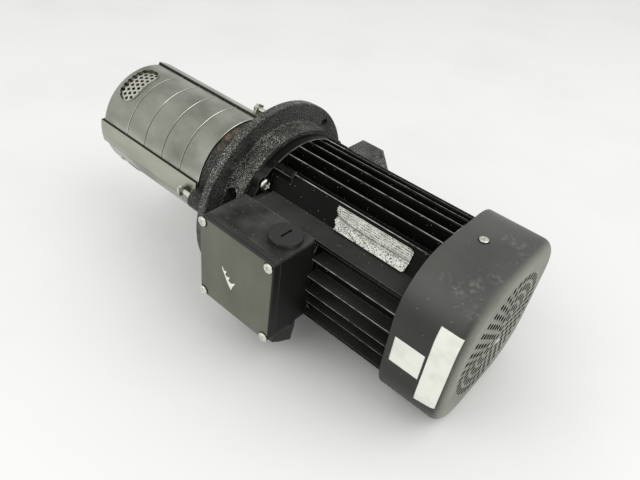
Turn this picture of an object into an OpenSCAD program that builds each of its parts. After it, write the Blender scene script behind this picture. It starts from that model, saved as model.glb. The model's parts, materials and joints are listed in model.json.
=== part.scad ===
// Immersion coolant pump: a four-stage stainless stack below a tank flange, a cast
// head with a side discharge port, and a fan-cooled motor with its terminal box.
// X runs along the shaft from the suction end to the fan. Its zero is the face of
// the flange that lies on the tank. Z is up and the terminal box is on the -Y side.

/* [Tank flange and pump head] */
// Radius of the tank flange
flange_r = 90; // [88:1:100]
// Thickness of the tank flange
flange_t = 8.1; // [7:0.1:11]
// Radius of the circle of mounting holes
bolt_circle_r = 80; // [79.5:0.5:82]
// Radius of each mounting hole
bolt_hole_r = 4.5; // [3:0.1:4.8]
// Radius of the round boss towards the motor
boss_r = 72.5; // [72:0.1:74]
// Length of the boss
boss_len = 17.3; // [15:0.1:22]
// Radius of the fillet at the foot of the boss
foot_r = 2.6; // [1:0.1:3]
// Radius of the collar towards the stack
collar_r = 55; // [54.9:0.1:58]
// Length of the collar
collar_len = 39.3; // [37:0.1:50]
// Wall of the collar
collar_wall = 5; // [3:0.1:6]
// Width of each strap lug on the collar
ear_w = 20; // [14:0.5:24]
// Reach of each strap lug from the axis
ear_reach = 70; // [67:0.5:74]
// Length of each strap lug
ear_len = 36; // [26:0.5:36]
// Width of the weep window round the boss
weep_w = 40; // [20:1:44]
// Height of the weep window along the shaft
weep_h = 11; // [8:0.5:13]

/* [Discharge port] */
// Width across flats of the discharge port
port_af = 45; // [42:0.5:50]
// Place of the port along the shaft
port_x = 30; // [29:0.5:34]
// Distance of the port face from the shaft axis
port_reach = 115; // [110:1:130]
// Length of the hexagon
port_len = 26; // [18:1:28]
// Radius of the port bore
port_bore_r = 15.15; // [10:0.05:17]
// Radius of the passage that leads to the port
duct_r = 6; // [4:0.1:6.5]

/* [Pump stack] */
// Outer radius of the stack
stack_r = 56; // [55.5:0.1:58]
// Sheet thickness of the chambers
sheet_t = 1.5; // [1:0.1:2]
// Length of one stage
stage_pitch = 27; // [26:0.5:36]
// Length of the strainer section
strainer_len = 39.7; // [36:0.1:60]
// Width of a strainer window round the wall
window_w = 44.7; // [36:0.1:50]
// Height of a strainer window along the shaft
window_h = 24; // [18:0.5:28]
// Side of each square hole in the screen
mesh_hole = 3.3; // [2:0.1:3.6]
// Spacing of the screen holes round the wall
mesh_pitch = 5.8; // [5:0.1:8]
// Spacing of the screen holes along the shaft
mesh_row = 5; // [4:0.1:7]

/* [Tie straps] */
// Width of a strap
strap_w = 24; // [18:0.5:28]
// Thickness of a strap
strap_t = 1.5; // [1:0.1:2]
// Length of the slot that the tab was bent out of
lance_len = 9; // [8.5:0.5:12]
// Width of the tab
tab_w = 8; // [7.5:0.5:12]
// Radius of the stud through the tab
stud_r = 2.5; // [2:0.1:2.8]

/* [Hydraulic parts] */
// Radius of the pump shaft
shaft_r = 7; // [5:0.1:8]
// Outer radius of an impeller
impeller_r = 44; // [38:0.5:48]
// Radius of an impeller's eye
eye_r = 18; // [14:0.5:20]
// Height of an impeller's vanes
vane_h = 5.8; // [4:0.1:7]
// Number of vanes in an impeller
impeller_vanes = 6; // [5:1:8]
// Number of vanes in a return guide
guide_vane_count = 8; // [6:1:10]
// Thickness of impeller shrouds and guide plates
shroud_t = 1.2; // [0.8:0.1:1.6]
// Thickness of the vanes
vane_t = 1.6; // [1:0.1:2]

/* [Motor] */
// Thickness of the drive-end shield
shield_t = 8.6; // [7:0.1:12]
// Radius of the circle of shield screws
shield_screw_reach = 65; // [64.5:0.1:66]
// Length of the finned frame
frame_len = 152; // [140:1:190]
// Radius of the frame's tube
frame_r = 57; // [56:0.1:57.4]
// Bore of the frame, as a radius
frame_bore_r = 52; // [50:0.1:53]
// Distance of the fin tips from the axis
fin_reach = 67.6; // [64:0.1:69]
// Thickness of a fin
fin_t = 2.6; // [1.8:0.1:4]
// Spacing of the upright fins
fin_pitch = 12.5; // [11:0.1:13.5]
// Spacing of the fins on the sides
side_fin_pitch = 15; // [11:0.1:16]
// Outer radius of the ball bearings
bearing_r = 23.5; // [21:0.1:25]
// Width of the ball bearings
bearing_w = 14; // [12:0.5:16]
// Radius of the motor shaft in the bearings
journal_r = 10; // [9:0.1:11]

/* [Fan and cover] */
// Half of the cover's width over its flats
cover_half = 70; // [69.5:0.1:74]
// Radius of the cover's corners
cover_corner = 45; // [30:1:50]
// Length of the cover
cover_len = 53.8; // [50:0.1:65]
// Fillet round the end face
cover_fillet = 8.7; // [4:0.1:10]
// Sheet thickness of the cover
cover_t = 2; // [1.2:0.1:2.5]
// Radius of the grille
grille_r = 54.4; // [40:0.1:58]
// Spacing of the grille's rings
ring_pitch = 9; // [8:0.1:12]
// Spacing of the slots along a ring
slot_pitch = 8.1; // [7:0.1:10]
// Width of a slot
slot_w = 4.3; // [3:0.1:5]
// Length of a slot towards the centre
slot_len = 6; // [4:0.1:6.6]
// Outer radius of the fan
fan_r = 57; // [45:0.5:57.5]
// Number of fan blades
fan_blades = 8; // [6:1:10]

/* [Terminal box] */
// Length of the box along the shaft
box_len = 80; // [76:1:90]
// Height of the box
box_h = 82; // [80:1:90]
// Depth of the box without its lid
box_depth = 37.2; // [32:0.1:46]
// Wall of the box
box_wall = 3; // [2:0.1:4]
// Radius of the box's corners
box_corner = 5; // [4:0.1:7]
// Thickness of the lid
lid_t = 7; // [5:0.1:9]
// Radius of the blanking plug's head
plug_r = 13.5; // [12:0.1:16]
// Height of the blanking plug's head
plug_h = 5; // [4:0.1:8]
// Width across flats of the cable gland
gland_af = 27; // [24:0.5:30]
// Height of the cable gland below the box
gland_h = 27; // [24:0.5:34]
// Radius of the gland's cable hole
cable_hole_r = 5.5; // [4:0.1:6.5]

/* [Hidden] */
// Smoothness of large, middle and small rounds
$fn = 96;
fn_mid = 64;
fn_small = 32;
// Cuts run past their faces by this, and fused pieces reach into each other by the bite
over = 1;
bite = 0.4;
// Clearances: slide for fixed pieces, run for turning ones, near for pieces beside each other
slide = 0.05;
run = 0.08;
near = 0.3;
air = 2;

// Places along the shaft
stages = 4;
boss_end = flange_t + boss_len;
shield_end = boss_end + shield_t;
frame_end = shield_end + frame_len;
stack_end = -collar_len;
strainer_x = stack_end - stages * stage_pitch;
suction_x = strainer_x - strainer_len;
function stage_x(k) = stack_end - (stages + 1 - k) * stage_pitch;

// Stack
edge_cut = 0.8;
end_round = 2.5;
spigot_len = 3;
spigot_t = 1.5;
spigot_r = stack_r - sheet_t - 2 * slide;
window_angles = [115, 235, 355];
window_lead = 19;
window_x = suction_x + window_lead;
window_lip = 1.4;
window_lip_h = 0.7;
screen_t = 1.2;
screen_r = stack_r - sheet_t - near;
mesh_columns = floor(window_w / mesh_pitch) + 1;
mesh_rows = floor((window_h + mesh_row) / mesh_row);
eye_wall = 2;
eye_lead = 0.5;
eye_len = 4.5;
neck_wall = 4;
neck_r = eye_r + eye_wall + run;
neck_lead = 1;
neck_len = 4;
hub_r = 10;
hub_lead = 2;
hub_len = 12;
shroud_x = eye_len - eye_lead;
vane_root = 12;
vane_centre_share = 0.56;
vane_bend_share = 0.63;
return_h = 8.8;
guide_r = 46;
guide_root = 26;
guide_hole = 13;
spacer_wall = 2.5;
nut_af = 22;
nut_len = 8;
thread_end = 4;

// Straps
strap_angles = [60, 180, 300];
strap_in = stack_r + near;
strap_out = strap_in + strap_t;
hook_len = 12;
strap_gap = 1;
strap_end = stack_end - strap_gap;
strap_rim = 2;
lance_x = strap_end - strap_rim - lance_len;
tab_x = lance_x - strap_t;
tab_reach = strap_out + lance_len;
strap_nut_af = 8;
strap_nut_len = 2.7;
stud_reach = strap_out + strap_nut_af / 2 + near;
stud_tail = 1;
stud_depth = 16;

// Head casting
cast_edge = 0.8;
head_floor = 8;
hub_tube_r = 20;
bush_wall = 4;
bush_len = 9.3;
sleeve_wall = 2;
seal_room_r = 17;
seat_r = 14;
seat_len = 6;
seat_x = -head_floor - seat_len;
seat_hole_r = 8;
passage_gap = 1.5;
coupling_r = 20;
coupling_pocket = 2;
coupling_gap = 3;
coupling_x0 = -coupling_pocket / 2;
coupling_x1 = shield_end - coupling_gap;
coupling_quarter = (coupling_x1 - coupling_x0) / 4;
coupling_screws_x = [coupling_x0 + coupling_quarter, coupling_x1 - coupling_quarter];
boss_cavity_wall = 12.5;
boss_cavity_r = boss_r - boss_cavity_wall;
boss_floor = flange_t + 0.9 * cast_edge;
weep_angle = 164;
weep_x = flange_t + cast_edge + weep_h / 2 + bite;
duct_x = flange_t + boss_len / 2;
duct_wall = boss_len / 2 - duct_r - near;
duct_y = collar_r - collar_wall - duct_r - passage_gap;
neck_side = 8;
neck_half = boss_len / 2 + neck_side;
elbow_r = 21;
elbow_sink = 1.3;
elbow_y = boss_r + elbow_r - elbow_sink;
port_bore_len = 33;
port_step = 1.2;
screw_angles = [45, 135, 225, 315];

// Shield screws
m6_r = 3;
m6_head_r = 5.5;
m6_head_h = 3.8;
m6_len = 20;
lug_r = boss_r - shield_screw_reach;
shield_r = 69;
register_len = 4;
register_wall = 4;
seat_wall = 5.5;

// Motor inside
core_lead = 36;
core_x = shield_end + core_lead;
core_len = 80;
core_bore = 31;
air_gap = 0.4;
winding_len = 16;
winding_in = 34;
winding_out = 49.5;
winding_round = 4;
end_ring_in = 18;
end_ring_out = 29;
end_ring_len = 8;
front_bearing_x = shield_end;
rear_seat_floor = 4;
rear_bearing_x = frame_end - bearing_w - rear_seat_floor;
race_t = 3.5;
ball_r = (bearing_r - journal_r - 2 * race_t) / 2 - run;
ball_ring = (bearing_r + journal_r) / 2;
ball_count = 8;
motor_nose_r = 9.5;
core_shaft_r = 12;
stub_r = 8;
joint_depth = 10.4;
shaft_joint = boss_end - joint_depth;
shaft_joint_gap = 1;

// Motor frame
corner_out = [-42, 41];
ridge_t = 3;
ridge_reach = 62;
ridge_gap = 3.2;
ridge_x = shield_end + m6_head_h + ridge_gap;
tag_len = 20;
tag_w = 6;
tag_z = 62;
pad_half = 38;
wire_r = 7;
wire_lead = 28;
wire_x = shield_end + wire_lead;
wire_z = -8;
rear_screw_at = [33, 50];
m4_r = 2;
m4_head_r = 4.2;
m4_head_h = 2.4;
cover_head_r = 3.7;
cover_head_h = 1.8;
rear_screw_len = 18;

// Rear end and fan
rear_t = 7;
rear_r = 64;
rear_hub_r = 29;
stub_gap = 1;
cover_gap = 1.4;
cover_x = frame_end + cover_gap;
cover_end = cover_x + cover_len;
cover_screw_lead = 18.4;
cover_screw_x = cover_x + cover_screw_lead;
arm_half = 8;
arm_in = 59.5;
arm_t = cover_half - cover_t - 2 * slide - arm_in;
arm_tip = 6.4;
fan_gap = 12;
fan_x = frame_end + rear_t + fan_gap;
fan_hub_r = 13;
fan_hub_len = 23;
blade_t = 2;
blade_len = 20;
clip_t = 1.2;
clip_out = 2.2;
stub_end = fan_x + fan_hub_len + 3 * clip_t;

// Terminal box
box_lead = 0.6;
box_x = boss_end + box_lead;
box_back = -ridge_reach;
gasket_t = 0.8;
lid_fillet = 2;
box_face = box_back - box_depth;
lid_back = box_face - gasket_t;
lid_face = lid_back - lid_t;
post_r = 5;
screw_inset = 4.5;
lid_head_r = 4.2;
lid_head_h = 2.2;
lid_screw_len = 18;
entry_lead = 64;
entry_depth = 16;
entry_x = box_x + entry_lead;
entry_y = box_back - entry_depth;
entry_r = 10;
shank_tail = 5;
shank_len = box_wall + shank_tail;
slot_gap = 2.4;
slot_deep = 2.2;
plug_slot_len = 12;
gland_hex_h = 6;
gland_nut_hex_h = 12;
gland_thread_r = 10.6;
gland_lip = 2.5;
seal_wall = 3.4;
block_len = 48;
block_w = 22;
block_h = 10;
block_foot_z = 6;
block_stud_r = 2;
block_stud_h = 8;
block_stud_pitch = 15;

// Helpers

// Lays what is drawn along local z on the shaft, from x on
module at_x(x) {
    translate([x, 0, 0]) rotate([0, 90, 0]) children();
}

// Turns what is drawn on the +Y side to an angle about the shaft
module spin(angle) {
    rotate([angle, 0, 0]) children();
}

// Revolves outlines given as radius and place along the shaft
module turned(fn = $fn) {
    rotate([0, 90, 0]) rotate_extrude($fn = fn) children();
}

// Outline of a plain ring from x0 to x1
module band(x0, x1, r_in, r_out) {
    translate([r_in, x0]) square([r_out - r_in, x1 - x0]);
}

// Outline of a ring whose outer edges are broken by c
module edged_band(x0, x1, r_in, r_out, c) {
    polygon([
        [r_in, x0], [r_out - c, x0], [r_out, x0 + c],
        [r_out, x1 - c], [r_out - c, x1], [r_in, x1]
    ]);
}

// A rod along the shaft
module rod(x0, x1, r, fn = fn_mid) {
    at_x(x0) cylinder(h = x1 - x0, r = r, $fn = fn);
}

// A tube along the shaft
module tube(x0, x1, r_in, r_out, fn = $fn) {
    turned(fn) band(x0, x1, r_in, r_out);
}

// A hexagonal bar along the shaft
module hex_bar(x0, x1, af) {
    at_x(x0) cylinder(h = x1 - x0, r = af / 2 / cos(30), $fn = 6);
}

// A round-ended opening, wide round the wall and high along the shaft, seen along y
module slot_outline(w, h) {
    square([h, w - h], center = true);
    for (side = [-1, 1]) translate([0, side * (w - h) / 2]) circle(r = h / 2, $fn = fn_mid);
}

// The same opening as a bar that points along +Y from y0 to y1
module slot_bar(x, w, h, y0, y1) {
    translate([x, y0, 0]) rotate([-90, 0, 0]) linear_extrude(y1 - y0) slot_outline(w, h);
}

// Half outline of a wall of a soft-edged block: half width a, length len, top fillet f
module soft_outline(a, len, f) {
    square([a, len - f]);
    square([a - f, len]);
    translate([a - f, len - f]) circle(r = f, $fn = fn_mid);
}

// A block with rounded corners rc and a fillet f round its top face
module soft_block(a, b, rc, len, f) {
    for (i = [-1, 1], j = [-1, 1])
        translate([i * (a - rc), j * (b - rc), 0]) rotate_extrude($fn = fn_mid) soft_outline(rc, len, f);
    for (side = [0, 180]) rotate([0, 0, side]) {
        translate([0, b - rc, 0]) rotate([90, 0, 0]) linear_extrude(2 * (b - rc)) soft_outline(a, len, f);
        translate([-(a - rc), 0, 0]) rotate([90, 0, 90]) linear_extrude(2 * (a - rc)) soft_outline(b, len, f);
    }
}

// A flat outline with round corners
module round_rect(a, b, rc) {
    square([2 * a, 2 * (b - rc)], center = true);
    square([2 * (a - rc), 2 * b], center = true);
    for (i = [-1, 1], j = [-1, 1]) translate([i * (a - rc), j * (b - rc)]) circle(r = rc, $fn = fn_small);
}

// Curved vanes round the shaft between two radii
module vane_ring(count, r_in, r_out, h) {
    for (k = [0 : count - 1]) rotate([0, 0, k * 360 / count]) linear_extrude(h) intersection() {
        translate([vane_centre_share * r_out, 0]) difference() {
            circle(r = vane_bend_share * r_out + vane_t / 2);
            circle(r = vane_bend_share * r_out - vane_t / 2);
        }
        difference() {
            circle(r = r_out);
            circle(r = r_in);
        }
        translate([-r_out, 0]) square([2 * r_out, r_out]);
    }
}

// Pan-head screw along local z: the head above zero, the shank below
module pan_screw(head_r, head_h, r, len) {
    rotate_extrude($fn = fn_small) {
        square([head_r, head_h / 2]);
        square([head_r - head_h / 2, head_h]);
        intersection() {
            translate([head_r - head_h / 2, head_h / 2]) circle(r = head_h / 2, $fn = fn_small);
            square([head_r, head_h]);
        }
        translate([0, -len]) square([r, len]);
    }
}

// Pump stack

module strainer_housing() {
    color("silver") difference() {
        union() {
            turned() difference() {
                union() {
                    edged_band(suction_x + end_round - edge_cut, strainer_x, 0, stack_r, edge_cut);
                    band(suction_x, suction_x + end_round, 0, stack_r - end_round);
                    translate([stack_r - end_round, suction_x + end_round]) circle(r = end_round, $fn = fn_mid);
                }
                band(suction_x + sheet_t, strainer_x + over, 0, stack_r - sheet_t);
            }
            for (a = window_angles) spin(a) intersection() {
                slot_bar(window_x, window_w + 2 * window_lip, window_h + 2 * window_lip, guide_r, flange_r);
                tube(suction_x + over, strainer_x - over, stack_r - sheet_t / 2, stack_r + window_lip_h);
            }
        }
        for (a = window_angles) spin(a) slot_bar(window_x, window_w, window_h, impeller_r, flange_r);
    }
}

module strainer_screen() {
    color("gray") difference() {
        tube(suction_x + sheet_t, strainer_x - spigot_len - near, screen_r - screen_t, screen_r);
        for (a = window_angles, i = [0 : mesh_columns - 1], j = [0 : mesh_rows - 1])
            spin(a + (i - (mesh_columns - 1) / 2 + (j % 2) / 2 - 0.25) * mesh_pitch / screen_r * 180 / PI)
                translate([window_x + (j - (mesh_rows - 1) / 2) * mesh_row, screen_r - over - screen_t, 0])
                    rotate([-90, 0, 0])
                        cylinder(h = screen_t + 2 * over, r = mesh_hole / sqrt(2), $fn = 4);
    }
}

module chamber(k) {
    x = stage_x(k);
    color("silver") turned() {
        edged_band(x, x + stage_pitch, stack_r - sheet_t, stack_r, edge_cut);
        band(x, x + sheet_t, neck_r + neck_wall, stack_r - edge_cut);
        band(x - spigot_len, x + sheet_t, spigot_r - spigot_t, spigot_r);
    }
}

module chamber_1() {
    chamber(1);
}

module chamber_2() {
    chamber(2);
}

module chamber_3() {
    chamber(3);
}

module chamber_4() {
    chamber(4);
}

module guide_vanes() {
    color("lightsteelblue") for (k = [1 : stages - 1]) {
        x = stage_x(k + 1) - return_h;
        tube(x - shroud_t, x, guide_hole, guide_r);
        at_x(x - bite) vane_ring(guide_vane_count, guide_root, guide_r, return_h + bite);
    }
}

module neck_rings() {
    color("dimgray") for (k = [1 : stages])
        tube(stage_x(k) - neck_lead, stage_x(k) - neck_lead + neck_len, neck_r, neck_r + neck_wall - slide);
}

// The part of a ring about the shaft that a strap's width leaves, on the +Y side
module strap_arc(x0, x1, r_in, r_out) {
    intersection() {
        tube(x0, x1, r_in, r_out);
        translate([x0 - over, 0, -strap_w / 2]) cube([x1 - x0 + 2 * over, r_out + over, strap_w]);
    }
}

module tie_straps() {
    color("lightgray") for (a = strap_angles) spin(a) {
        difference() {
            strap_arc(suction_x - strap_t, strap_end, strap_in, strap_out);
            translate([lance_x, 0, -tab_w / 2]) cube([lance_len, strap_out + over, tab_w]);
        }
        strap_arc(suction_x - strap_t, suction_x, strap_in - hook_len, strap_in + strap_t / 2);
        difference() {
            translate([tab_x, strap_in + strap_t / 2, -tab_w / 2])
                cube([strap_t, tab_reach - strap_in - strap_t / 2, tab_w]);
            translate([0, stud_reach, 0]) rod(tab_x - over, tab_x + strap_t + over, stud_r + 2 * slide, fn_small);
        }
    }
}

module strap_studs() {
    color("silver") for (a = strap_angles) spin(a) translate([0, stud_reach, 0])
        rod(tab_x - strap_nut_len - stud_tail, -ear_len + stud_depth, stud_r, fn_small);
}

module strap_nuts() {
    color("white") for (a = strap_angles) spin(a) translate([0, stud_reach, 0]) difference() {
        hex_bar(tab_x - strap_nut_len, tab_x, strap_nut_af);
        rod(tab_x - strap_nut_len - over, tab_x + over, stud_r + slide, fn_small);
    }
}

// Pump head

module head_body() {
    turned() {
        edged_band(stack_end, foot_r, 0, collar_r, cast_edge);
        band(stack_end - spigot_len, stack_end + foot_r, 0, spigot_r);
        edged_band(0, flange_t, 0, flange_r, cast_edge);
        band(flange_t - bite, boss_end, 0, boss_r);
        difference() {
            translate([boss_r - bite, flange_t - bite]) square(foot_r + bite);
            translate([boss_r + foot_r, flange_t + foot_r]) circle(r = foot_r, $fn = fn_mid);
        }
    }
    for (a = strap_angles) spin(a) {
        translate([-ear_len, collar_r - collar_wall, -ear_w / 2])
            cube([ear_len + bite, ear_reach - ear_w / 2 - collar_r + collar_wall, ear_w]);
        translate([0, ear_reach - ear_w / 2, 0]) rod(-ear_len, bite, ear_w / 2, fn_mid);
    }
}

module head_cavities() {
    turned() {
        band(stack_end - spigot_len - over, -head_floor, hub_tube_r, collar_r - collar_wall);
        band(stack_end - spigot_len - over, stack_end, 0, hub_tube_r + over);
        band(stack_end - over, stack_end + bush_len, 0, shaft_r + sleeve_wall + bush_wall + run);
        band(stack_end + bush_len - bite, seat_x, 0, seal_room_r);
        band(seat_x - bite, -head_floor, 0, seat_r + slide);
        band(-head_floor - over, -coupling_pocket + over, 0, shaft_r + passage_gap);
        band(-coupling_pocket, boss_floor + over, 0, coupling_r + air);
        band(boss_floor, boss_end + over, 0, boss_cavity_r);
    }
    for (a = screw_angles) spin(a) {
        translate([0, bolt_circle_r, 0]) rod(-over, flange_t + over, bolt_hole_r, fn_mid);
        translate([0, shield_screw_reach, 0])
            rod(boss_end - m6_len + shield_t - over, boss_end + over, m6_r + 2 * slide, fn_small);
    }
    for (a = strap_angles) spin(a) translate([0, stud_reach, 0])
        rod(-ear_len - over, -ear_len + stud_depth + over, stud_r + slide, fn_small);
    spin(weep_angle) slot_bar(weep_x, weep_w, weep_h, boss_cavity_r - foot_r, flange_r);
}

module discharge_arm() {
    translate([duct_x, duct_y - duct_r - duct_wall, 0]) rotate([-90, 0, 0])
        cylinder(h = elbow_y - duct_y + duct_r + duct_wall, r = duct_r + duct_wall, $fn = fn_mid);
    translate([0, duct_y, 0]) rod(-head_floor / 2, duct_x, duct_r + duct_wall, fn_mid);
    translate([duct_x - near, boss_cavity_r + over, 0]) rotate([-90, 0, 0])
        linear_extrude(elbow_y - boss_cavity_r - over) slot_outline(2 * neck_half, boss_len);
    translate([flange_t - foot_r, boss_cavity_r + over, -neck_half])
        cube([boss_len / 2, elbow_y - boss_cavity_r - over, 2 * neck_half]);
    translate([port_x, elbow_y, 0]) sphere(r = elbow_r, $fn = fn_mid);
    translate([port_x, port_reach - port_len, 0]) rotate([-90, 0, 0])
        cylinder(h = port_len, r = port_af / 2 / cos(30), $fn = 6);
}

module pump_head() {
    color([0.16, 0.17, 0.17]) difference() {
        union() {
            difference() {
                head_body();
                head_cavities();
            }
            discharge_arm();
        }
        translate([duct_x, duct_y, 0]) rotate([-90, 0, 0])
            cylinder(h = elbow_y - duct_y, r = duct_r, $fn = fn_mid);
        translate([0, duct_y, 0]) rod(-head_floor - over, duct_x + duct_r, duct_r, fn_mid);
        translate([port_x, port_reach - port_bore_len, 0]) rotate([-90, 0, 0])
            cylinder(h = port_bore_len + over, r = port_bore_r, $fn = fn_mid);
        translate([port_x, port_reach - port_step, 0]) rotate([-90, 0, 0])
            cylinder(h = port_step + over, r = port_bore_r + port_step, $fn = fn_mid);
    }
}

module bearing_bush() {
    inner = shaft_r + sleeve_wall + run;
    color("saddlebrown") tube(stack_end, stack_end + bush_len, inner, inner + bush_wall - slide);
}

module seal_seat() {
    color("dimgray") tube(seat_x, -head_floor, seat_hole_r, seat_r);
}

// Motor

module drive_shield() {
    color([0.3, 0.32, 0.31]) difference() {
        union() {
            turned() {
                band(boss_end, shield_end, coupling_r + air, shield_r);
                band(boss_end - register_len, boss_end + bite, boss_cavity_r - register_wall, boss_cavity_r - slide);
                band(shield_end - bite, shield_end + register_len, frame_bore_r - register_wall, frame_bore_r - slide);
                band(shield_end - bite, shield_end + bearing_w, bearing_r + slide, bearing_r + seat_wall);
            }
            for (a = screw_angles) spin(a) translate([0, shield_screw_reach, 0])
                rod(boss_end + near, shield_end - near, lug_r, fn_mid);
        }
        for (a = screw_angles) spin(a) translate([0, shield_screw_reach, 0])
            rod(boss_end - over, shield_end + over, m6_r + 2 * slide, fn_small);
        translate([duct_x, duct_y - duct_r - duct_wall - over, 0]) rotate([-90, 0, 0])
            cylinder(h = boss_cavity_r, r = boss_len / 2 + bite, $fn = fn_mid);
        translate([boss_end - over, -boss_r - ridge_reach + near, -boss_r])
            cube([shield_t + 2 * over, boss_r, 2 * boss_r]);
    }
}

module shield_screws() {
    color("silver") for (a = screw_angles) spin(a) translate([0, shield_screw_reach, 0])
        at_x(shield_end) pan_screw(m6_head_r, m6_head_h, m6_r, m6_len);
}

// A fin outline that stands on the tube at a distance from its middle line
module fin_outline(at) {
    tip = sqrt(fin_reach * fin_reach - at * at) - fin_t / 2;
    root = sqrt(frame_bore_r * frame_bore_r - at * at);
    translate([at - fin_t / 2, root]) square([fin_t, tip - root]);
    translate([at, tip]) circle(r = fin_t / 2, $fn = fn_small);
}

// One corner between the last upright fin and the ridge, in the -Y, +Z quarter
module corner_outline() {
    fin_y = 2.5 * fin_pitch;
    fin_z = sqrt(fin_reach * fin_reach - fin_y * fin_y) - fin_t / 2;
    polygon([
        [-fin_y, fin_z], [-fin_y - fin_t / 2, fin_z], corner_out,
        [corner_out[0], corner_out[1] - ridge_t], [-fin_y, fin_z - fin_y / 2]
    ]);
}

module ridge_outline() {
    translate([-ridge_reach, corner_out[1] - ridge_t])
        square([ridge_reach + corner_out[0] + ridge_t, ridge_t]);
}

// Lays an outline drawn in y and z along the shaft
module along_x(x0, x1) {
    translate([x0, 0, 0]) rotate([90, 0, 90]) linear_extrude(x1 - x0) children();
}

// A thick start of the last upright fin, on the -Y, +Z quarter
module tag_outline() {
    tag_y = -2.5 * fin_pitch - fin_t / 2;
    translate([tag_y - tag_w / 2, frame_bore_r]) square([tag_w, tag_z - tag_w / 2 - frame_bore_r]);
    translate([tag_y, tag_z - tag_w / 2]) circle(r = tag_w / 2, $fn = fn_small);
}

module motor_frame() {
    color([0.34, 0.36, 0.35]) difference() {
        union() {
            along_x(shield_end, frame_end) {
                circle(r = frame_r);
                for (flip = [0, 180]) rotate(flip) for (i = [-2.5 : 1 : 2.5]) fin_outline(i * fin_pitch);
                rotate(-90) for (i = [-1.5 : 1 : 1.5]) fin_outline(i * side_fin_pitch);
                for (i = [0, 1], j = [0, 1]) mirror([i, 0]) mirror([0, j]) corner_outline();
            }
            along_x(box_x + box_len + near, frame_end)
                rotate(90) for (i = [-1.5 : 1 : 1.5]) fin_outline(i * side_fin_pitch);
            along_x(ridge_x, frame_end)
                for (i = [0, 1], j = [0, 1]) mirror([i, 0]) mirror([0, j]) ridge_outline();
            along_x(shield_end, shield_end + tag_len)
                for (i = [0, 1], j = [0, 1]) mirror([i, 0]) mirror([0, j]) tag_outline();
            translate([shield_end, box_back, -pad_half])
                cube([box_x + box_len - shield_end, ridge_reach - frame_bore_r / 2, 2 * pad_half]);
        }
        rod(shield_end - over, frame_end + over, frame_bore_r, $fn);
        translate([wire_x, 0, wire_z]) rotate([90, 0, 0]) cylinder(h = flange_r, r = wire_r, $fn = fn_small);
        for (i = [-1, 1], j = [-1, 1]) translate([0, i * rear_screw_at[0], j * rear_screw_at[1]])
            rod(frame_end - rear_screw_len, frame_end + over, m4_r + slide, fn_small);
    }
}

module stator_core() {
    color("slategray") tube(core_x, core_x + core_len, core_bore, frame_bore_r - slide);
}

module stator_windings() {
    color("orangered") for (x = [core_x - winding_len, core_x + core_len]) turned() {
        w = winding_out - winding_in;
        translate([winding_in + winding_round, x]) square([w - 2 * winding_round, winding_len]);
        translate([winding_in, x + winding_round]) square([w, winding_len - 2 * winding_round]);
        for (r = [winding_in + winding_round, winding_out - winding_round],
             z = [x + winding_round, x + winding_len - winding_round])
            translate([r, z]) circle(r = winding_round, $fn = fn_small);
    }
}

module rear_shield() {
    color([0.34, 0.36, 0.35]) difference() {
        union() {
            turned() {
                band(frame_end, frame_end + rear_t, stub_r + stub_gap, rear_r);
                band(rear_bearing_x + bearing_w, frame_end + bite, stub_r + stub_gap, bearing_r + seat_wall);
                band(rear_bearing_x, frame_end, bearing_r + slide, bearing_r + seat_wall);
                band(frame_end - register_len, frame_end + bite, frame_bore_r - register_wall, frame_bore_r - slide);
            }
            for (side = [0, 180]) rotate([side, 0, 0]) {
                translate([frame_end, -arm_half, arm_in])
                    cube([cover_screw_x - frame_end + arm_tip, 2 * arm_half, arm_t]);
                translate([frame_end, -arm_half, frame_bore_r])
                    cube([rear_t, 2 * arm_half, arm_in + bite - frame_bore_r]);
            }
        }
        for (side = [0, 180]) rotate([side, 0, 0]) translate([cover_screw_x, 0, arm_in - over])
            cylinder(h = cover_half, r = m4_r + slide, $fn = fn_small);
        for (i = [-1, 1], j = [-1, 1]) translate([0, i * rear_screw_at[0], j * rear_screw_at[1]])
            rod(frame_end - over, frame_end + rear_t + over, m4_r + 2 * slide, fn_small);
    }
}

module rear_shield_screws() {
    color("silver") for (i = [-1, 1], j = [-1, 1])
        translate([0, i * rear_screw_at[0], j * rear_screw_at[1]]) at_x(frame_end + rear_t)
            pan_screw(m4_head_r, m4_head_h, m4_r, rear_screw_len);
}

module bearing_outer_rings() {
    color("lightsteelblue") for (x = [front_bearing_x, rear_bearing_x])
        tube(x, x + bearing_w, bearing_r - race_t, bearing_r);
}

// Fan cover

// The cover's outer form, or its hollow when the walls are drawn in by t
module cover_form(t, x0) {
    at_x(x0) soft_block(cover_half - t, cover_half - t, cover_corner - t,
        cover_end - t - x0, cover_fillet - t);
}

// Ring k of slots, counted from the rim
module grille_ring(k) {
    r = grille_r - slot_len / 2 - k * ring_pitch;
    count = max(4, round(2 * PI * r / slot_pitch));
    for (i = [0 : count - 1]) spin(90 + i * 360 / count)
        translate([cover_end - cover_t - over, r - slot_len / 2, -slot_w / 2])
            cube([cover_t + 2 * over, slot_len, slot_w]);
}

module fan_cover() {
    color([0.36, 0.38, 0.36]) difference() {
        cover_form(0, cover_x);
        cover_form(cover_t, cover_x - over);
        for (k = [0 : floor((grille_r - slot_len) / ring_pitch)]) grille_ring(k);
        for (side = [0, 180]) rotate([side, 0, 0]) translate([cover_screw_x, 0, cover_half - 2 * cover_t])
            cylinder(h = 4 * cover_t, r = m4_r + 2 * slide, $fn = fn_small);
    }
}

module cover_screws() {
    color("silver") for (side = [0, 180]) rotate([side, 0, 0]) translate([cover_screw_x, 0, cover_half])
        pan_screw(cover_head_r, cover_head_h, m4_r, arm_t + cover_t - slide);
}

// Terminal box

// Lays what is drawn along local z on the box, pointing away from the motor
module on_box(y) {
    translate([box_x + box_len / 2, y, 0]) rotate([90, 0, 0]) children();
}

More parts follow.
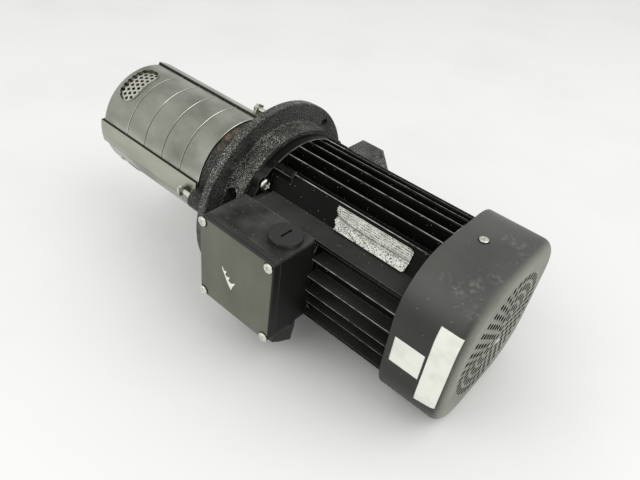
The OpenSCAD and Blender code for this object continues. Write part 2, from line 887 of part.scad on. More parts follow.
module lid_screw_places() {
    for (i = [-1, 1], j = [-1, 1])
        translate([i * (box_len / 2 - screw_inset), j * (box_h / 2 - screw_inset), 0]) children();
}

module terminal_box() {
    color([0.33, 0.35, 0.34]) difference() {
        on_box(box_back) difference() {
            linear_extrude(box_depth) round_rect(box_len / 2, box_h / 2, box_corner);
            difference() {
                translate([0, 0, box_wall]) linear_extrude(box_depth)
                    round_rect(box_len / 2 - box_wall, box_h / 2 - box_wall, box_corner - box_wall + over);
                lid_screw_places() cylinder(h = box_depth, r = post_r, $fn = fn_small);
            }
            lid_screw_places() translate([0, 0, box_depth - lid_screw_len])
                cylinder(h = box_depth, r = m4_r + slide, $fn = fn_small);
        }
        translate([entry_x, entry_y, -box_h]) cylinder(h = 2 * box_h, r = entry_r, $fn = fn_mid);
        translate([wire_x, box_back + over, wire_z]) rotate([90, 0, 0])
            cylinder(h = box_wall + 2 * over, r = wire_r, $fn = fn_small);
    }
}

module box_gasket() {
    color([0.1, 0.1, 0.1]) on_box(box_face) linear_extrude(gasket_t) difference() {
        round_rect(box_len / 2 - gasket_t / 2, box_h / 2 - gasket_t / 2, box_corner);
        round_rect(box_len / 2 - box_wall - post_r, box_h / 2 - box_wall - post_r, box_corner);
        lid_screw_places() circle(r = m4_r + 2 * slide, $fn = fn_small);
    }
}

module terminal_lid() {
    color([0.33, 0.35, 0.34]) difference() {
        on_box(lid_back) soft_block(box_len / 2, box_h / 2, box_corner, lid_t, lid_fillet);
        on_box(lid_back) lid_screw_places() translate([0, 0, -over])
            cylinder(h = lid_t + 2 * over, r = m4_r + 2 * slide, $fn = fn_small);
    }
}

module lid_screws() {
    color("silver") on_box(lid_face) lid_screw_places()
        pan_screw(lid_head_r, lid_head_h, m4_r, lid_screw_len);
}

module block_place() {
    translate([box_x + box_len / 2, box_back - box_wall, block_foot_z]) rotate([90, 0, 0]) children();
}

module terminal_block() {
    color([0.12, 0.12, 0.13]) block_place() difference() {
        translate([-block_len / 2, 0, 0]) cube([block_len, block_w, block_h]);
        for (i = [-1, 0, 1], j = [-1, 1])
            translate([i * block_stud_pitch, block_w / 2 + j * block_stud_pitch / 3, block_h / 2])
                cylinder(h = block_h, r = block_stud_r + slide, $fn = fn_small);
    }
}

module terminal_studs() {
    color("gold") block_place() for (i = [-1, 0, 1], j = [-1, 1])
        translate([i * block_stud_pitch, block_w / 2 + j * block_stud_pitch / 3, block_h / 2])
            cylinder(h = block_h / 2 + block_stud_h, r = block_stud_r, $fn = fn_small);
}

module blanking_plug() {
    color([0.1, 0.1, 0.1]) translate([entry_x, entry_y, box_h / 2]) difference() {
        union() {
            rotate_extrude($fn = fn_mid) {
                edge = slot_gap / 2;
                square([plug_r, plug_h - edge]);
                square([plug_r - edge, plug_h]);
                translate([plug_r - edge, plug_h - edge]) circle(r = edge, $fn = fn_small);
            }
            translate([0, 0, -shank_len]) cylinder(h = shank_len + bite, r = entry_r - slide, $fn = fn_mid);
        }
        translate([-slot_gap / 2, -plug_slot_len / 2, plug_h - slot_deep])
            cube([slot_gap, plug_slot_len, slot_deep + over]);
    }
}

// Lays the gland's pieces below the box, growing down along local z
module gland_place() {
    translate([entry_x, entry_y, -box_h / 2]) rotate([180, 0, 0]) children();
}

module gland_body() {
    color([0.13, 0.13, 0.13]) gland_place() difference() {
        union() {
            cylinder(h = gland_hex_h, r = gland_af / 2 / cos(30), $fn = 6);
            translate([0, 0, -shank_len]) cylinder(h = shank_len + bite, r = entry_r - slide, $fn = fn_mid);
            translate([0, 0, gland_hex_h - bite])
                cylinder(h = gland_nut_hex_h - near + bite, r = gland_thread_r, $fn = fn_mid);
        }
        translate([0, 0, -shank_len - over])
            cylinder(h = gland_h + shank_len, r = cable_hole_r + seal_wall / 2, $fn = fn_mid);
    }
}

module gland_nut() {
    dome_h = gland_h - gland_hex_h - gland_nut_hex_h;
    color([0.13, 0.13, 0.13]) gland_place() translate([0, 0, gland_hex_h + near]) difference() {
        union() {
            cylinder(h = gland_nut_hex_h, r = gland_af / 2 / cos(30), $fn = 6);
            intersection() {
                translate([0, 0, gland_nut_hex_h - bite]) cylinder(h = dome_h + bite - near, r = gland_af / 2, $fn = fn_mid);
                translate([0, 0, gland_nut_hex_h - dome_h / 2]) sphere(r = gland_af / 2 + near, $fn = fn_mid);
            }
        }
        translate([0, 0, -over]) cylinder(h = gland_nut_hex_h + over, r = gland_thread_r + slide, $fn = fn_mid);
        cylinder(h = gland_h - gland_hex_h - gland_lip, r = cable_hole_r + seal_wall + slide, $fn = fn_mid);
        cylinder(h = gland_h, r = cable_hole_r + slide, $fn = fn_mid);
    }
}

module gland_seal() {
    color([0.08, 0.08, 0.08]) gland_place() difference() {
        translate([0, 0, gland_hex_h + gland_nut_hex_h])
            cylinder(h = gland_h - gland_hex_h - gland_nut_hex_h - gland_lip + near, r = cable_hole_r + seal_wall, $fn = fn_mid);
        translate([0, 0, gland_hex_h]) cylinder(h = gland_h, r = cable_hole_r, $fn = fn_mid);
    }
}

// Rotor

module pump_shaft() {
    color("silver") rod(stage_x(1) + hub_lead - nut_len - thread_end, shaft_joint - shaft_joint_gap, shaft_r);
}

module impeller(k) {
    x = stage_x(k);
    color("gainsboro") {
        turned() {
            band(x - eye_lead, x + shroud_x + bite, eye_r, eye_r + eye_wall);
            band(x + shroud_x, x + shroud_x + shroud_t, eye_r, impeller_r);
            band(x + shroud_x + shroud_t + vane_h, x + shroud_x + 2 * shroud_t + vane_h, shaft_r + slide, impeller_r);
            band(x + hub_lead, x + hub_lead + hub_len, shaft_r + slide, hub_r);
        }
        at_x(x + shroud_x + shroud_t - bite)
            vane_ring(impeller_vanes, vane_root, impeller_r - vane_t / 2, vane_h + 2 * bite);
    }
}

module impeller_1() {
    impeller(1);
}

module impeller_2() {
    impeller(2);
}

module impeller_3() {
    impeller(3);
}

module impeller_4() {
    impeller(4);
}

module shaft_spacers() {
    color("silver") for (k = [1 : stages]) tube(stage_x(k) + hub_lead + hub_len,
        k < stages ? stage_x(k + 1) + hub_lead : stack_end, shaft_r + slide, shaft_r + spacer_wall, fn_mid);
}

module shaft_nut() {
    x = stage_x(1) + hub_lead;
    color("silver") difference() {
        hex_bar(x - nut_len, x, nut_af);
        rod(x - nut_len - over, x + over, shaft_r + slide);
    }
}

module bearing_sleeve() {
    color("lightgray") tube(stack_end, stack_end + bush_len, shaft_r + slide, shaft_r + sleeve_wall);
}

module seal_rotor() {
    color("black") tube(seat_x - seat_len * 2 / 3, seat_x, shaft_r + slide, seat_r - air);
}

module seal_bellows() {
    x0 = stack_end + bush_len;
    x1 = seat_x - seat_len * 2 / 3;
    folds = 3;
    fold = (x1 - x0) / folds;
    color([0.1, 0.1, 0.1]) turned(fn_mid) polygon(concat(
        [[shaft_r + slide, x1], [shaft_r + slide, x0]],
        [for (i = [0 : 2 * folds]) [i % 2 == 0 ? seat_r - air : seat_r - 2 * air, x0 + i * fold / 2]]
    ));
}

module coupling_halves() {
    color("dimgray") for (side = [0, 180]) rotate([side, 0, 0]) difference() {
        intersection() {
            rod(coupling_x0, coupling_x1, coupling_r);
            translate([coupling_x0, slide, -coupling_r])
                cube([coupling_x1 - coupling_x0, coupling_r, 2 * coupling_r]);
        }
        rod(coupling_x0 - over, shaft_joint, shaft_r + slide);
        rod(shaft_joint - over, coupling_x1 + over, motor_nose_r + slide);
        for (x = coupling_screws_x, z = [-1, 1])
            translate([x, -over, z * (motor_nose_r + coupling_r) / 2]) rotate([-90, 0, 0])
                cylinder(h = coupling_r + over, r = m4_r + slide, $fn = fn_small);
    }
}

module coupling_screws() {
    reach = sqrt(coupling_r * coupling_r - pow((motor_nose_r + coupling_r) / 2 + m4_r, 2));
    color("silver") for (x = coupling_screws_x, z = [-1, 1])
        translate([x, -reach, z * (motor_nose_r + coupling_r) / 2]) rotate([-90, 0, 0])
            cylinder(h = 2 * reach, r = m4_r, $fn = fn_small);
}

module motor_shaft() {
    color("silver") turned(fn_mid) {
        band(shaft_joint, front_bearing_x, 0, motor_nose_r);
        band(front_bearing_x - bite, rear_bearing_x + bearing_w, 0, journal_r);
        band(front_bearing_x + bearing_w, rear_bearing_x, 0, core_shaft_r);
        band(rear_bearing_x + bearing_w - bite, stub_end, 0, stub_r);
    }
}

module rotor_core() {
    color("slategray") tube(core_x, core_x + core_len, core_shaft_r + slide, core_bore - air_gap);
}

module rotor_end_rings() {
    color("gainsboro") for (x = [core_x - end_ring_len, core_x + core_len])
        tube(x, x + end_ring_len, end_ring_in, end_ring_out);
}

module bearing_inner_rings() {
    color("lightsteelblue") for (x = [front_bearing_x, rear_bearing_x])
        tube(x, x + bearing_w, journal_r + slide, journal_r + race_t);
}

module bearing_balls() {
    color("white") for (x = [front_bearing_x, rear_bearing_x], i = [0 : ball_count - 1])
        spin(i * 360 / ball_count) translate([x + bearing_w / 2, ball_ring, 0]) sphere(r = ball_r, $fn = fn_small);
}

module fan() {
    color([0.15, 0.15, 0.16]) difference() {
        union() {
            rod(fan_x, fan_x + fan_hub_len, fan_hub_r);
            rod(fan_x, fan_x + blade_t, fan_r, $fn);
            for (i = [0 : fan_blades - 1]) spin(i * 360 / fan_blades)
                translate([fan_x, 0, -blade_t / 2]) cube([blade_len, fan_r - blade_t, blade_t]);
        }
        rod(fan_x - over, fan_x + fan_hub_len + over, stub_r + slide);
    }
}

module fan_circlip() {
    color("silver") tube(fan_x + fan_hub_len, fan_x + fan_hub_len + clip_t, stub_r + slide, stub_r + clip_out, fn_mid);
}

strainer_housing();
strainer_screen();
chamber_1();
chamber_2();
chamber_3();
chamber_4();
guide_vanes();
neck_rings();
tie_straps();
strap_studs();
strap_nuts();
pump_head();
bearing_bush();
seal_seat();
drive_shield();
shield_screws();
motor_frame();
stator_core();
stator_windings();
rear_shield();
rear_shield_screws();
bearing_outer_rings();
fan_cover();
cover_screws();
terminal_box();
box_gasket();
terminal_lid();
lid_screws();
terminal_block();
terminal_studs();
blanking_plug();
gland_body();
gland_nut();
gland_seal();
pump_shaft();
impeller_1();
impeller_2();
impeller_3();
impeller_4();
shaft_spacers();
shaft_nut();
bearing_sleeve();
seal_rotor();
seal_bellows();
coupling_halves();
coupling_screws();
motor_shaft();
rotor_core();
rotor_end_rings();
bearing_inner_rings();
bearing_balls();
fan();
fan_circlip();
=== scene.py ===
# %% [markdown]
# An immersion coolant pump lies on a pale bench. Its solids come ready made, in metres, with X along
# the shaft. This lesson gives them their light, their finishes and the thin things that solids leave
# out: screw recesses, the silver rating label, two blank stickers and a torn scrap of paper.

# %% Load the solids
import json
import math

import bpy
import numpy as np
from mathutils import Matrix, Vector


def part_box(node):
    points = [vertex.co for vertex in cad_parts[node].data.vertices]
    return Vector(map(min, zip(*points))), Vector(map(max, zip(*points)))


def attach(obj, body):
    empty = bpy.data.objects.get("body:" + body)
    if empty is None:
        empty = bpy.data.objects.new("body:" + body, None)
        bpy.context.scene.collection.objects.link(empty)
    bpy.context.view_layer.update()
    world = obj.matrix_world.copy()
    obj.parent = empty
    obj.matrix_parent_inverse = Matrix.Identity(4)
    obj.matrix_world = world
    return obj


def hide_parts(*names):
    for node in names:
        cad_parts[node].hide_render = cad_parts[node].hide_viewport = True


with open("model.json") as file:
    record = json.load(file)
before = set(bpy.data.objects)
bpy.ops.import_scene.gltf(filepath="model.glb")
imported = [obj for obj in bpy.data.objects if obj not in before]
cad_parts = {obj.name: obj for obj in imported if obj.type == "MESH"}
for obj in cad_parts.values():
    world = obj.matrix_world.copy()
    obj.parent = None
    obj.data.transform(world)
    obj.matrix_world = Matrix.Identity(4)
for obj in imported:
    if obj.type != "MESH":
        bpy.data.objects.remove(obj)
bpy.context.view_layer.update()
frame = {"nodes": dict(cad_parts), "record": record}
nodes = frame["nodes"]
MM = 0.001


def limits(name):
    """Lowest and highest corner of a solid, in millimetres."""
    low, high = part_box(name)
    return np.array(low) / MM, np.array(high) / MM


# %% [markdown]
# The camera could be set by eye and nudged until the picture fits. Here its place and its three axes
# were worked out from edges of known size, such as the flange and the fan cover, so every piece lands
# on its pixel.

# %% Camera
EYE = (0.3042, -0.3313, 0.3136)
RIGHT = Vector((0.7463, 0.6555, 0.1156))
DOWN = Vector((0.4864, -0.4185, -0.7670))
AHEAD = Vector((-0.4544, 0.6286, -0.6312))
FOCAL_PX = 576.64
IMAGE_W = 640
SENSOR_MM = 36.0
NEAREST, FARTHEST = 0.01, 50.0


def make_camera():
    """A pinhole camera: its columns are right, up and backwards."""
    data = bpy.data.cameras.new("camera")
    data.sensor_width = SENSOR_MM
    data.lens = FOCAL_PX / IMAGE_W * SENSOR_MM
    data.clip_start = NEAREST
    data.clip_end = FARTHEST
    cam = bpy.data.objects.new("camera", data)
    bpy.context.scene.collection.objects.link(cam)
    turn = Matrix((RIGHT, -DOWN, -AHEAD)).transposed()
    cam.matrix_world = Matrix.Translation(EYE) @ turn.to_4x4()
    bpy.context.scene.camera = cam
    return cam


camera = make_camera()
print("lens in mm:", round(camera.data.lens, 2))

# %% [markdown]
# The pump lies on the rim of its flange and on the edge of its fan cover, which is smaller, so its
# shaft tilts. Turning the pump would take its solids out of their frame, so the shaft stays level here
# and the bench tilts by the same small angle.

# %% Bench
BENCH_SLOPE = 0.0872
BENCH_X = 7.3 * MM
BENCH_Z = -90.05 * MM
BENCH_HALF = 6.0


def bench_height(x):
    """Height of the bench below a place along the shaft: a straight line."""
    return BENCH_Z + BENCH_SLOPE * (x - BENCH_X)


def make_bench():
    """A single large square, lifted along X by the bench's slope."""
    half = BENCH_HALF
    corners = [(-half, -half), (half, -half), (half, half), (-half, half)]
    mesh = bpy.data.meshes.new("bench")
    mesh.from_pydata([(x, y, bench_height(x)) for x, y in corners], [], [(0, 1, 2, 3)])
    made = bpy.data.objects.new("bench", mesh)
    bpy.context.scene.collection.objects.link(made)
    return made


bench = make_bench()
print("bench tilts by", round(math.degrees(math.atan(BENCH_SLOPE)), 2), "degrees")

# %% [markdown]
# A finish is a tree of nodes. Typing each node out in full would bury the idea, so a few helpers do
# it: one fills a node's inputs, one makes a node, and one starts a material with its shader.

# %% Nodes and links


def wire(tree, out, into):
    """Links an output socket to an input socket."""
    tree.links.new(out, into)


def feed(tree, node, values):
    """Fills inputs by name or number: a socket is linked, None is left, all else is a value."""
    for key, value in values.items():
        if isinstance(value, bpy.types.NodeSocket):
            wire(tree, value, node.inputs[key])
        elif value is not None:
            node.inputs[key].default_value = value
    return node


def add(tree, kind, values=None, **settings):
    """Adds a node: settings are its properties, and values fill its inputs."""
    made = tree.nodes.new(kind)
    for name, setting in settings.items():
        setattr(made, name, setting)
    return feed(tree, made, values or {})


def start_material(name, colour, roughness, metallic=0.0):
    """A new material with one Principled shader; returns it with its tree and the shader."""
    made = bpy.data.materials.new(name)
    made.use_nodes = True
    tree = made.node_tree
    plain = {"Base Color": (*colour, 1.0), "Roughness": roughness, "Metallic": metallic}
    return made, tree, feed(tree, tree.nodes["Principled BSDF"], plain)


# %% [markdown]
# Patterns are sums on sockets. Each sum below takes sockets or plain numbers and gives back the socket
# that holds its result, so sums can stand inside each other as in ordinary code.

# %% Sums on sockets


def math_node(tree, operation, a, b=None, clamp=False):
    """A Math node on sockets or numbers; returns its output."""
    return add(tree, "ShaderNodeMath", {0: a, 1: b}, operation=operation, use_clamp=clamp).outputs[0]


def product(tree, first, *others):
    """Masks multiplied together, from left to right."""
    for other in others:
        first = math_node(tree, "MULTIPLY", first, other)
    return first


def vector_node(tree, operation, a, b=None):
    """A Vector Math node on sockets or triples; returns its vector."""
    return add(tree, "ShaderNodeVectorMath", {0: a, 1: b}, operation=operation).outputs["Vector"]


def vector_value(tree, operation, a, b=None):
    """A Vector Math node whose answer is one number, such as a length."""
    return add(tree, "ShaderNodeVectorMath", {0: a, 1: b}, operation=operation).outputs["Value"]


def ramp(tree, value, low, high, to_low=0.0, to_high=1.0):
    """A smooth step from low to high, sent to a new range; low may be the larger one."""
    values = {"Value": value, "From Min": low, "From Max": high, "To Min": to_low, "To Max": to_high}
    return add(tree, "ShaderNodeMapRange", values, interpolation_type="SMOOTHSTEP").outputs["Result"]


def mix_colour(tree, factor, a, b):
    """Mixes two colours, given as sockets or triples, by a mask."""
    a, b = ((*colour, 1.0) if isinstance(colour, tuple) else colour for colour in (a, b))
    return add(tree, "ShaderNodeMix", {0: factor, 6: a, 7: b}, data_type="RGBA").outputs[2]


# %% [markdown]
# Marks belong to places on the pump. Every piece sits at the origin, so Object coordinates are the
# pump's own, and a place can be written in millimetres along the shaft, across it and up.

# %% Places on the pump


def millimetres(*values):
    """A triple of lengths as a shader wants it, in metres."""
    return tuple(float(v) * MM for v in values)


def object_coords(tree):
    """The pump's own coordinates."""
    return add(tree, "ShaderNodeTexCoord").outputs["Object"]


def axis_of(tree, coords, axis):
    """One of three coordinates, or of a colour's channels: 0, 1 or 2."""
    return add(tree, "ShaderNodeSeparateXYZ", {0: coords}).outputs[axis]


def from_shaft(tree, coords):
    """Distance from the shaft's axis: the length of (y, z)."""
    return vector_value(tree, "LENGTH", vector_node(tree, "MULTIPLY", coords, (0.0, 1.0, 1.0)))


def fade(tree, value, none_at, full_at):
    """0 at one length and 1 at the other, in millimetres, with a smooth step between."""
    return ramp(tree, value, none_at * MM, full_at * MM)


def band_mask(tree, value, low, high, soft):
    """1 between two lengths in millimetres, with soft edges."""
    return product(tree, fade(tree, value, low - soft, low), fade(tree, value, high + soft, high))


def true_height(tree):
    """How far a face looks up: the height of its true normal, from -1 to 1."""
    return axis_of(tree, add(tree, "ShaderNodeNewGeometry").outputs["True Normal"], 2)


# %% [markdown]
# An effect that several finishes share is built once, as a node group with named inputs and one value
# out. Each finish places the group with values of its own.

# %% Group helpers
ORIGIN = (0.0, 0.0, 0.0)
UNIT = (1.0, 1.0, 1.0)


def new_group(name, output, **inputs):
    """A node group: a triple makes a vector input, a number a plain one; returns tree, inputs, output."""
    tree = bpy.data.node_groups.new(name, "ShaderNodeTree")
    for label, default in inputs.items():
        kind = "NodeSocketVector" if isinstance(default, tuple) else "NodeSocketFloat"
        socket = tree.interface.new_socket(label, in_out="INPUT", socket_type=kind)
        socket.default_value = default
    tree.interface.new_socket(output, in_out="OUTPUT", socket_type="NodeSocketFloat")
    start = tree.nodes.new("NodeGroupInput")
    end = tree.nodes.new("NodeGroupOutput")
    return tree, start.outputs, end.inputs[output]


def use_group(tree, group, **values):
    """Places a group in a material, fills its named inputs and returns its output."""
    return add(tree, "ShaderNodeGroup", values, node_tree=group).outputs[0]


# %% [markdown]
# Wear on paint is seen first on edges. It could be painted on each edge, but the Bevel node finds the
# edges by itself: it rounds the normal near one, and there it departs from the surface's own normal.
# Noise breaks the line up.

# %% Edge wear group
BEVEL_SAMPLES = 6
EDGE_STEP = (0.01, 0.12)


def make_edge_wear():
    """Mask = step of (1 - rounded normal . own normal), less a noise that breaks it up."""
    tree, given, out = new_group("edge wear", "Mask", Vector=ORIGIN, Width=0.0006, Breakup=0.5, Size=400.0)
    rounded = add(tree, "ShaderNodeBevel", {"Radius": given["Width"]}, samples=BEVEL_SAMPLES)
    own = add(tree, "ShaderNodeNewGeometry")
    agree = vector_value(tree, "DOT_PRODUCT", rounded.outputs["Normal"], own.outputs["Normal"])
    edge = ramp(tree, math_node(tree, "SUBTRACT", 1.0, agree), *EDGE_STEP)
    noise = add(tree, "ShaderNodeTexNoise",
                {"Vector": given["Vector"], "Scale": given["Size"], "Detail": 3.0})
    broken = math_node(tree, "MULTIPLY", noise.outputs["Fac"], given["Breakup"])
    wire(tree, math_node(tree, "SUBTRACT", edge, broken, clamp=True), out)
    return tree


edge_wear = make_edge_wear()
print("group:", edge_wear.name)

# %% [markdown]
# Dust and grit sit as tiny pale specks. Small meshes for them would be heavy, so Voronoi cells give
# each speck a centre and a random number; only cells whose number is below the amount hold one.

# %% Speck group


def make_specks():
    """Mask = 1 near a cell's centre, in the share of cells that the amount asks for."""
    tree, given, out = new_group("specks", "Mask", Vector=ORIGIN, Cells=300.0, Amount=0.1, Speck=0.18)
    cells = add(tree, "ShaderNodeTexVoronoi",
                {"Vector": given["Vector"], "Scale": given["Cells"]}, feature="F1")
    near = math_node(tree, "LESS_THAN", cells.outputs["Distance"], given["Speck"])
    number = add(tree, "ShaderNodeSeparateColor", {0: cells.outputs["Color"]}).outputs[0]
    wire(tree, product(tree, near, math_node(tree, "LESS_THAN", number, given["Amount"])), out)
    return tree


specks = make_specks()
print("group:", specks.name)

# %% [markdown]
# Grain, haze and brushing are all noise at different sizes and stretches, so one group gives all
# three: it multiplies the coordinates by a stretch before the noise is read.

# %% Field group


def make_field():
    """Noise of a given size in stretched space; its values from low to high become 0 to 1."""
    tree, given, out = new_group("field", "Value", Vector=ORIGIN, Stretch=UNIT, Size=100.0, Detail=3.0,
                                 Low=0.3, High=0.7)
    stretched = vector_node(tree, "MULTIPLY", given["Vector"], given["Stretch"])
    noise = add(tree, "ShaderNodeTexNoise",
                {"Vector": stretched, "Scale": given["Size"], "Detail": given["Detail"]})
    level = add(tree, "ShaderNodeMapRange",
                {"Value": noise.outputs["Fac"], "From Min": given["Low"], "From Max": given["High"]})
    wire(tree, level.outputs["Result"], out)
    return tree


field = make_field()
print("group:", field.name)


def place_field(tree, coords, size, stretch=UNIT, detail=3.0, low=0.3, high=0.7):
    """The field group read at object coordinates; a larger size is finer, because it is a scale."""
    return use_group(tree, field, Vector=coords, Stretch=stretch, Size=size, Detail=detail,
                     Low=low, High=high)


def bump(tree, shader, height, strength, distance):
    """Bends the shader's normal by a height, whose full step is a distance in metres."""
    made = add(tree, "ShaderNodeBump", {"Height": height, "Strength": strength, "Distance": distance})
    wire(tree, made.outputs["Normal"], shader.inputs["Normal"])


# %% [markdown]
# Three marks come on more than one finish: dust with painted top light, noisy blots, and the painted
# shadow round a screw head. Each is a group that gives a mask, with a function that takes the body
# colour and gives it back with the mark on it. The first is pale dust together with painted light on
# faces that look up, where light falls, thinned by a cloud of noise.

# %% Dust and painted top light
FULL_DUST_AND_LIGHT = 0.95
CLOUD_SPAN = 0.5


def make_dust_and_top_light():
    """Mask = smooth step of the face's height times a cloud, a place and a strength."""
    tree, given, out = new_group("dust and top light", "Mask", Cloud=1.0, Place=1.0, Least=0.3, Strength=1.0)
    up = ramp(tree, true_height(tree), given["Least"], FULL_DUST_AND_LIGHT)
    mask = product(tree, up, given["Cloud"], given["Place"])
    wire(tree, math_node(tree, "MULTIPLY", mask, given["Strength"], clamp=True), out)
    return tree


dust_light_group = make_dust_and_top_light()
print("group:", dust_light_group.name)


def dust_and_top_light(colour, strength, size=18.0, where=None, least=0.30, thin=0.15):
    """Dust and painted top light on faces that look up; where is an axis, none at one place, all at the
    other.
    """

    def put(tree, coords, body):
        cloud = place_field(tree, coords, size, detail=6.0, low=thin, high=thin + CLOUD_SPAN)
        place = 1.0
        if where is not None:
            axis, none_at, full_at = where
            place = fade(tree, axis_of(tree, coords, axis), none_at, full_at)
        mask = use_group(tree, dust_light_group, Cloud=cloud, Place=place, Least=least, Strength=strength)
        return mix_colour(tree, mask, body, colour)

    return put


# %% [markdown]
# The second mark is a noisy blot, for scuffs, rust and one glint. It belongs to a place on the pump, so
# it is a soft ball in space: where a surface passes through the ball, the surface is marked.

# %% Blots
BLOT_HEART = 0.3


def make_blot():
    """Mask = smooth fall from a ball's heart to its radius, times a noise and a strength."""
    tree, given, out = new_group("blot", "Mask", Vector=ORIGIN, Centre=ORIGIN, Radius=0.01, Noise=1.0,
                                 Strength=1.0)
    away = vector_value(tree, "DISTANCE", given["Vector"], given["Centre"])
    heart = math_node(tree, "MULTIPLY", given["Radius"], BLOT_HEART)
    mask = product(tree, ramp(tree, away, given["Radius"], heart), given["Noise"])
    wire(tree, math_node(tree, "MULTIPLY", mask, given["Strength"], clamp=True), out)
    return tree


blot = make_blot()
print("group:", blot.name)


def patches(places, colour, size, low, high):
    """Noisy blots: each is a ball at (x, y, z, radius), in millimetres, with its strength."""

    def put(tree, coords, body):
        noise = place_field(tree, coords, size, detail=7.0, low=low, high=high)
        for x, y, z, radius, strength in places:
            mask = use_group(tree, blot, Vector=coords, Centre=millimetres(x, y, z), Radius=radius * MM,
                             Noise=noise, Strength=strength)
            body = mix_colour(tree, mask, body, colour)
        return body

    return put


# %% [markdown]
# The third mark is a painted shadow: the dark ring in which a screw head stands. Folding space about
# the middle of the screws brings them all onto one, so one distance serves them all.

# %% Painted shadow rings
RING_SOFT = 0.5


def make_ring():
    """Mask = 1 from the inner to the outer distance round a screw, with all screws folded onto one."""
    tree, given, out = new_group("ring", "Mask", Vector=ORIGIN, Centre=ORIGIN, Offset=ORIGIN, Plane=UNIT,
                                 Inner=0.004, Outer=0.005)
    folded = vector_node(tree, "ABSOLUTE", vector_node(tree, "SUBTRACT", given["Vector"], given["Centre"]))
    at_screw = vector_node(tree, "SUBTRACT", folded, given["Offset"])
    away = vector_value(tree, "LENGTH", vector_node(tree, "MULTIPLY", at_screw, given["Plane"]))
    rise = ramp(tree, away, math_node(tree, "SUBTRACT", given["Inner"], RING_SOFT * MM), given["Inner"])
    fall = ramp(tree, away, math_node(tree, "ADD", given["Outer"], RING_SOFT * MM), given["Outer"])
    wire(tree, product(tree, rise, fall), out)
    return tree


ring = make_ring()
print("group:", ring.name)


def screw_shadow_rings(centre, fold, inner, outer, colour):
    """Painted shadow rings round screws that stand at plus and minus fold from the centre; None leaves an
    axis out.
    """
    plane = tuple(0.0 if f is None else 1.0 for f in fold)
    offset = millimetres(*[0.0 if f is None else f for f in fold])

    def put(tree, coords, body):
        mask = use_group(tree, ring, Vector=coords, Centre=millimetres(*centre), Offset=offset,
                         Plane=plane, Inner=inner * MM, Outer=outer * MM)
        return mix_colour(tree, mask, body, colour)

    return put


# %% [markdown]
# Dark paint over aluminium or steel, and dark moulded plastic, share one recipe: a near-black body
# colour with a slow haze, marks, pale specks, a fine orange-peel grain and worn edges. One function
# makes them all, so each finish below is a short list of its own values.

# %% Dark skins
PALER_BY = 0.003
SPECK_COLOUR = (0.40, 0.40, 0.36)
GLOSSIER, DULLER = 0.05, 0.09
HOLE_LEVELS = (0.010, 0.002)


def paler(colour, times):
    """A colour some times as bright, plus a little, so that black pales too."""
    return tuple(min(1.0, channel * times + PALER_BY) for channel in colour)


def dark_skin(name, colour, roughness, haze=0.5, haze_size=25.0, grain=900.0, grain_depth=0.00004,
              speck_amount=0.05, wear=0.3, wear_colour=(0.30, 0.30, 0.27), wear_width=0.0005,
              shine=0.3, marks=(), last=(), holes=False):
    """Body colour times haze, then marks, specks, edge wear and last marks. Where holes are painted black
    as shade, roughness rises to 1 as the colour's green channel nears nothing."""
    made, tree, shader = start_material(name, colour, roughness)
    shader.inputs["Specular IOR Level"].default_value = shine
    coords = object_coords(tree)
    cloud = place_field(tree, coords, haze_size, detail=5.0, low=0.35, high=0.75)
    body = mix_colour(tree, cloud, colour, paler(colour, 1.0 + haze))
    for mark in marks:
        body = mark(tree, coords, body)
    dusty = use_group(tree, specks, Vector=coords, Cells=620.0, Amount=speck_amount, Speck=0.16)
    body = mix_colour(tree, dusty, body, SPECK_COLOUR)
    worn = use_group(tree, edge_wear, Vector=coords, Width=wear_width, Breakup=0.7, Size=260.0)
    body = mix_colour(tree, math_node(tree, "MULTIPLY", worn, wear, clamp=True), body, wear_colour)
    for mark in last:
        body = mark(tree, coords, body)
    wire(tree, body, shader.inputs["Base Color"])
    rough = ramp(tree, cloud, 0.0, 1.0, roughness - GLOSSIER, roughness + DULLER)
    if holes:
        rough = math_node(tree, "MAXIMUM", rough, ramp(tree, axis_of(tree, body, 1), *HOLE_LEVELS))
    wire(tree, rough, shader.inputs["Roughness"])
    bump(tree, shader, place_field(tree, coords, grain, detail=2.0), strength=0.35, distance=grain_depth)
    return made


black_plastic = dark_skin("black plastic", (0.018, 0.0185, 0.0172), 0.45, haze=0.5, speck_amount=0.03,
                          wear=0.2, shine=0.3)
fan_black = dark_skin("fan plastic", (0.0020, 0.0020, 0.0020), 0.6, haze=0.3, speck_amount=0.0,
                      wear=0.0, shine=0.1)
print("made:", black_plastic.name, "and", fan_black.name)

# %% [markdown]
# The motor's black paint is rubbed through on the crest of every fin, and each crest also catches a
# highlight, so a thin broken line of rubbed paint and painted highlight runs along it. A line modelled
# on each fin would have to follow its round tip, so the finish finds the crests instead, by their
# distance from the shaft. The corner channels stand farther out and are left black.

# %% Motor paint
MIDDLE_FINS = 10.0
FIN_HALF = 1.3
CREST_BELOW, CREST_ABOVE, CREST_SOFT = 0.02, 0.6, 0.05
CHANNEL_AT = (36.0, 35.0)
FIN_CREST_HIGHLIGHT = (0.42, 0.43, 0.38)


def fin_reach():
    """Farthest point from the shaft among the middle fins, read from the frame's own mesh."""
    mesh = nodes["motor_frame"].data
    flat = np.empty(len(mesh.vertices) * 3)
    mesh.vertices.foreach_get("co", flat)
    y, z = flat.reshape(-1, 3)[:, 1:].T / MM
    middle = np.minimum(np.abs(y), np.abs(z)) < MIDDLE_FINS
    return float(np.hypot(y, z)[middle].max())


FIN_REACH = fin_reach()


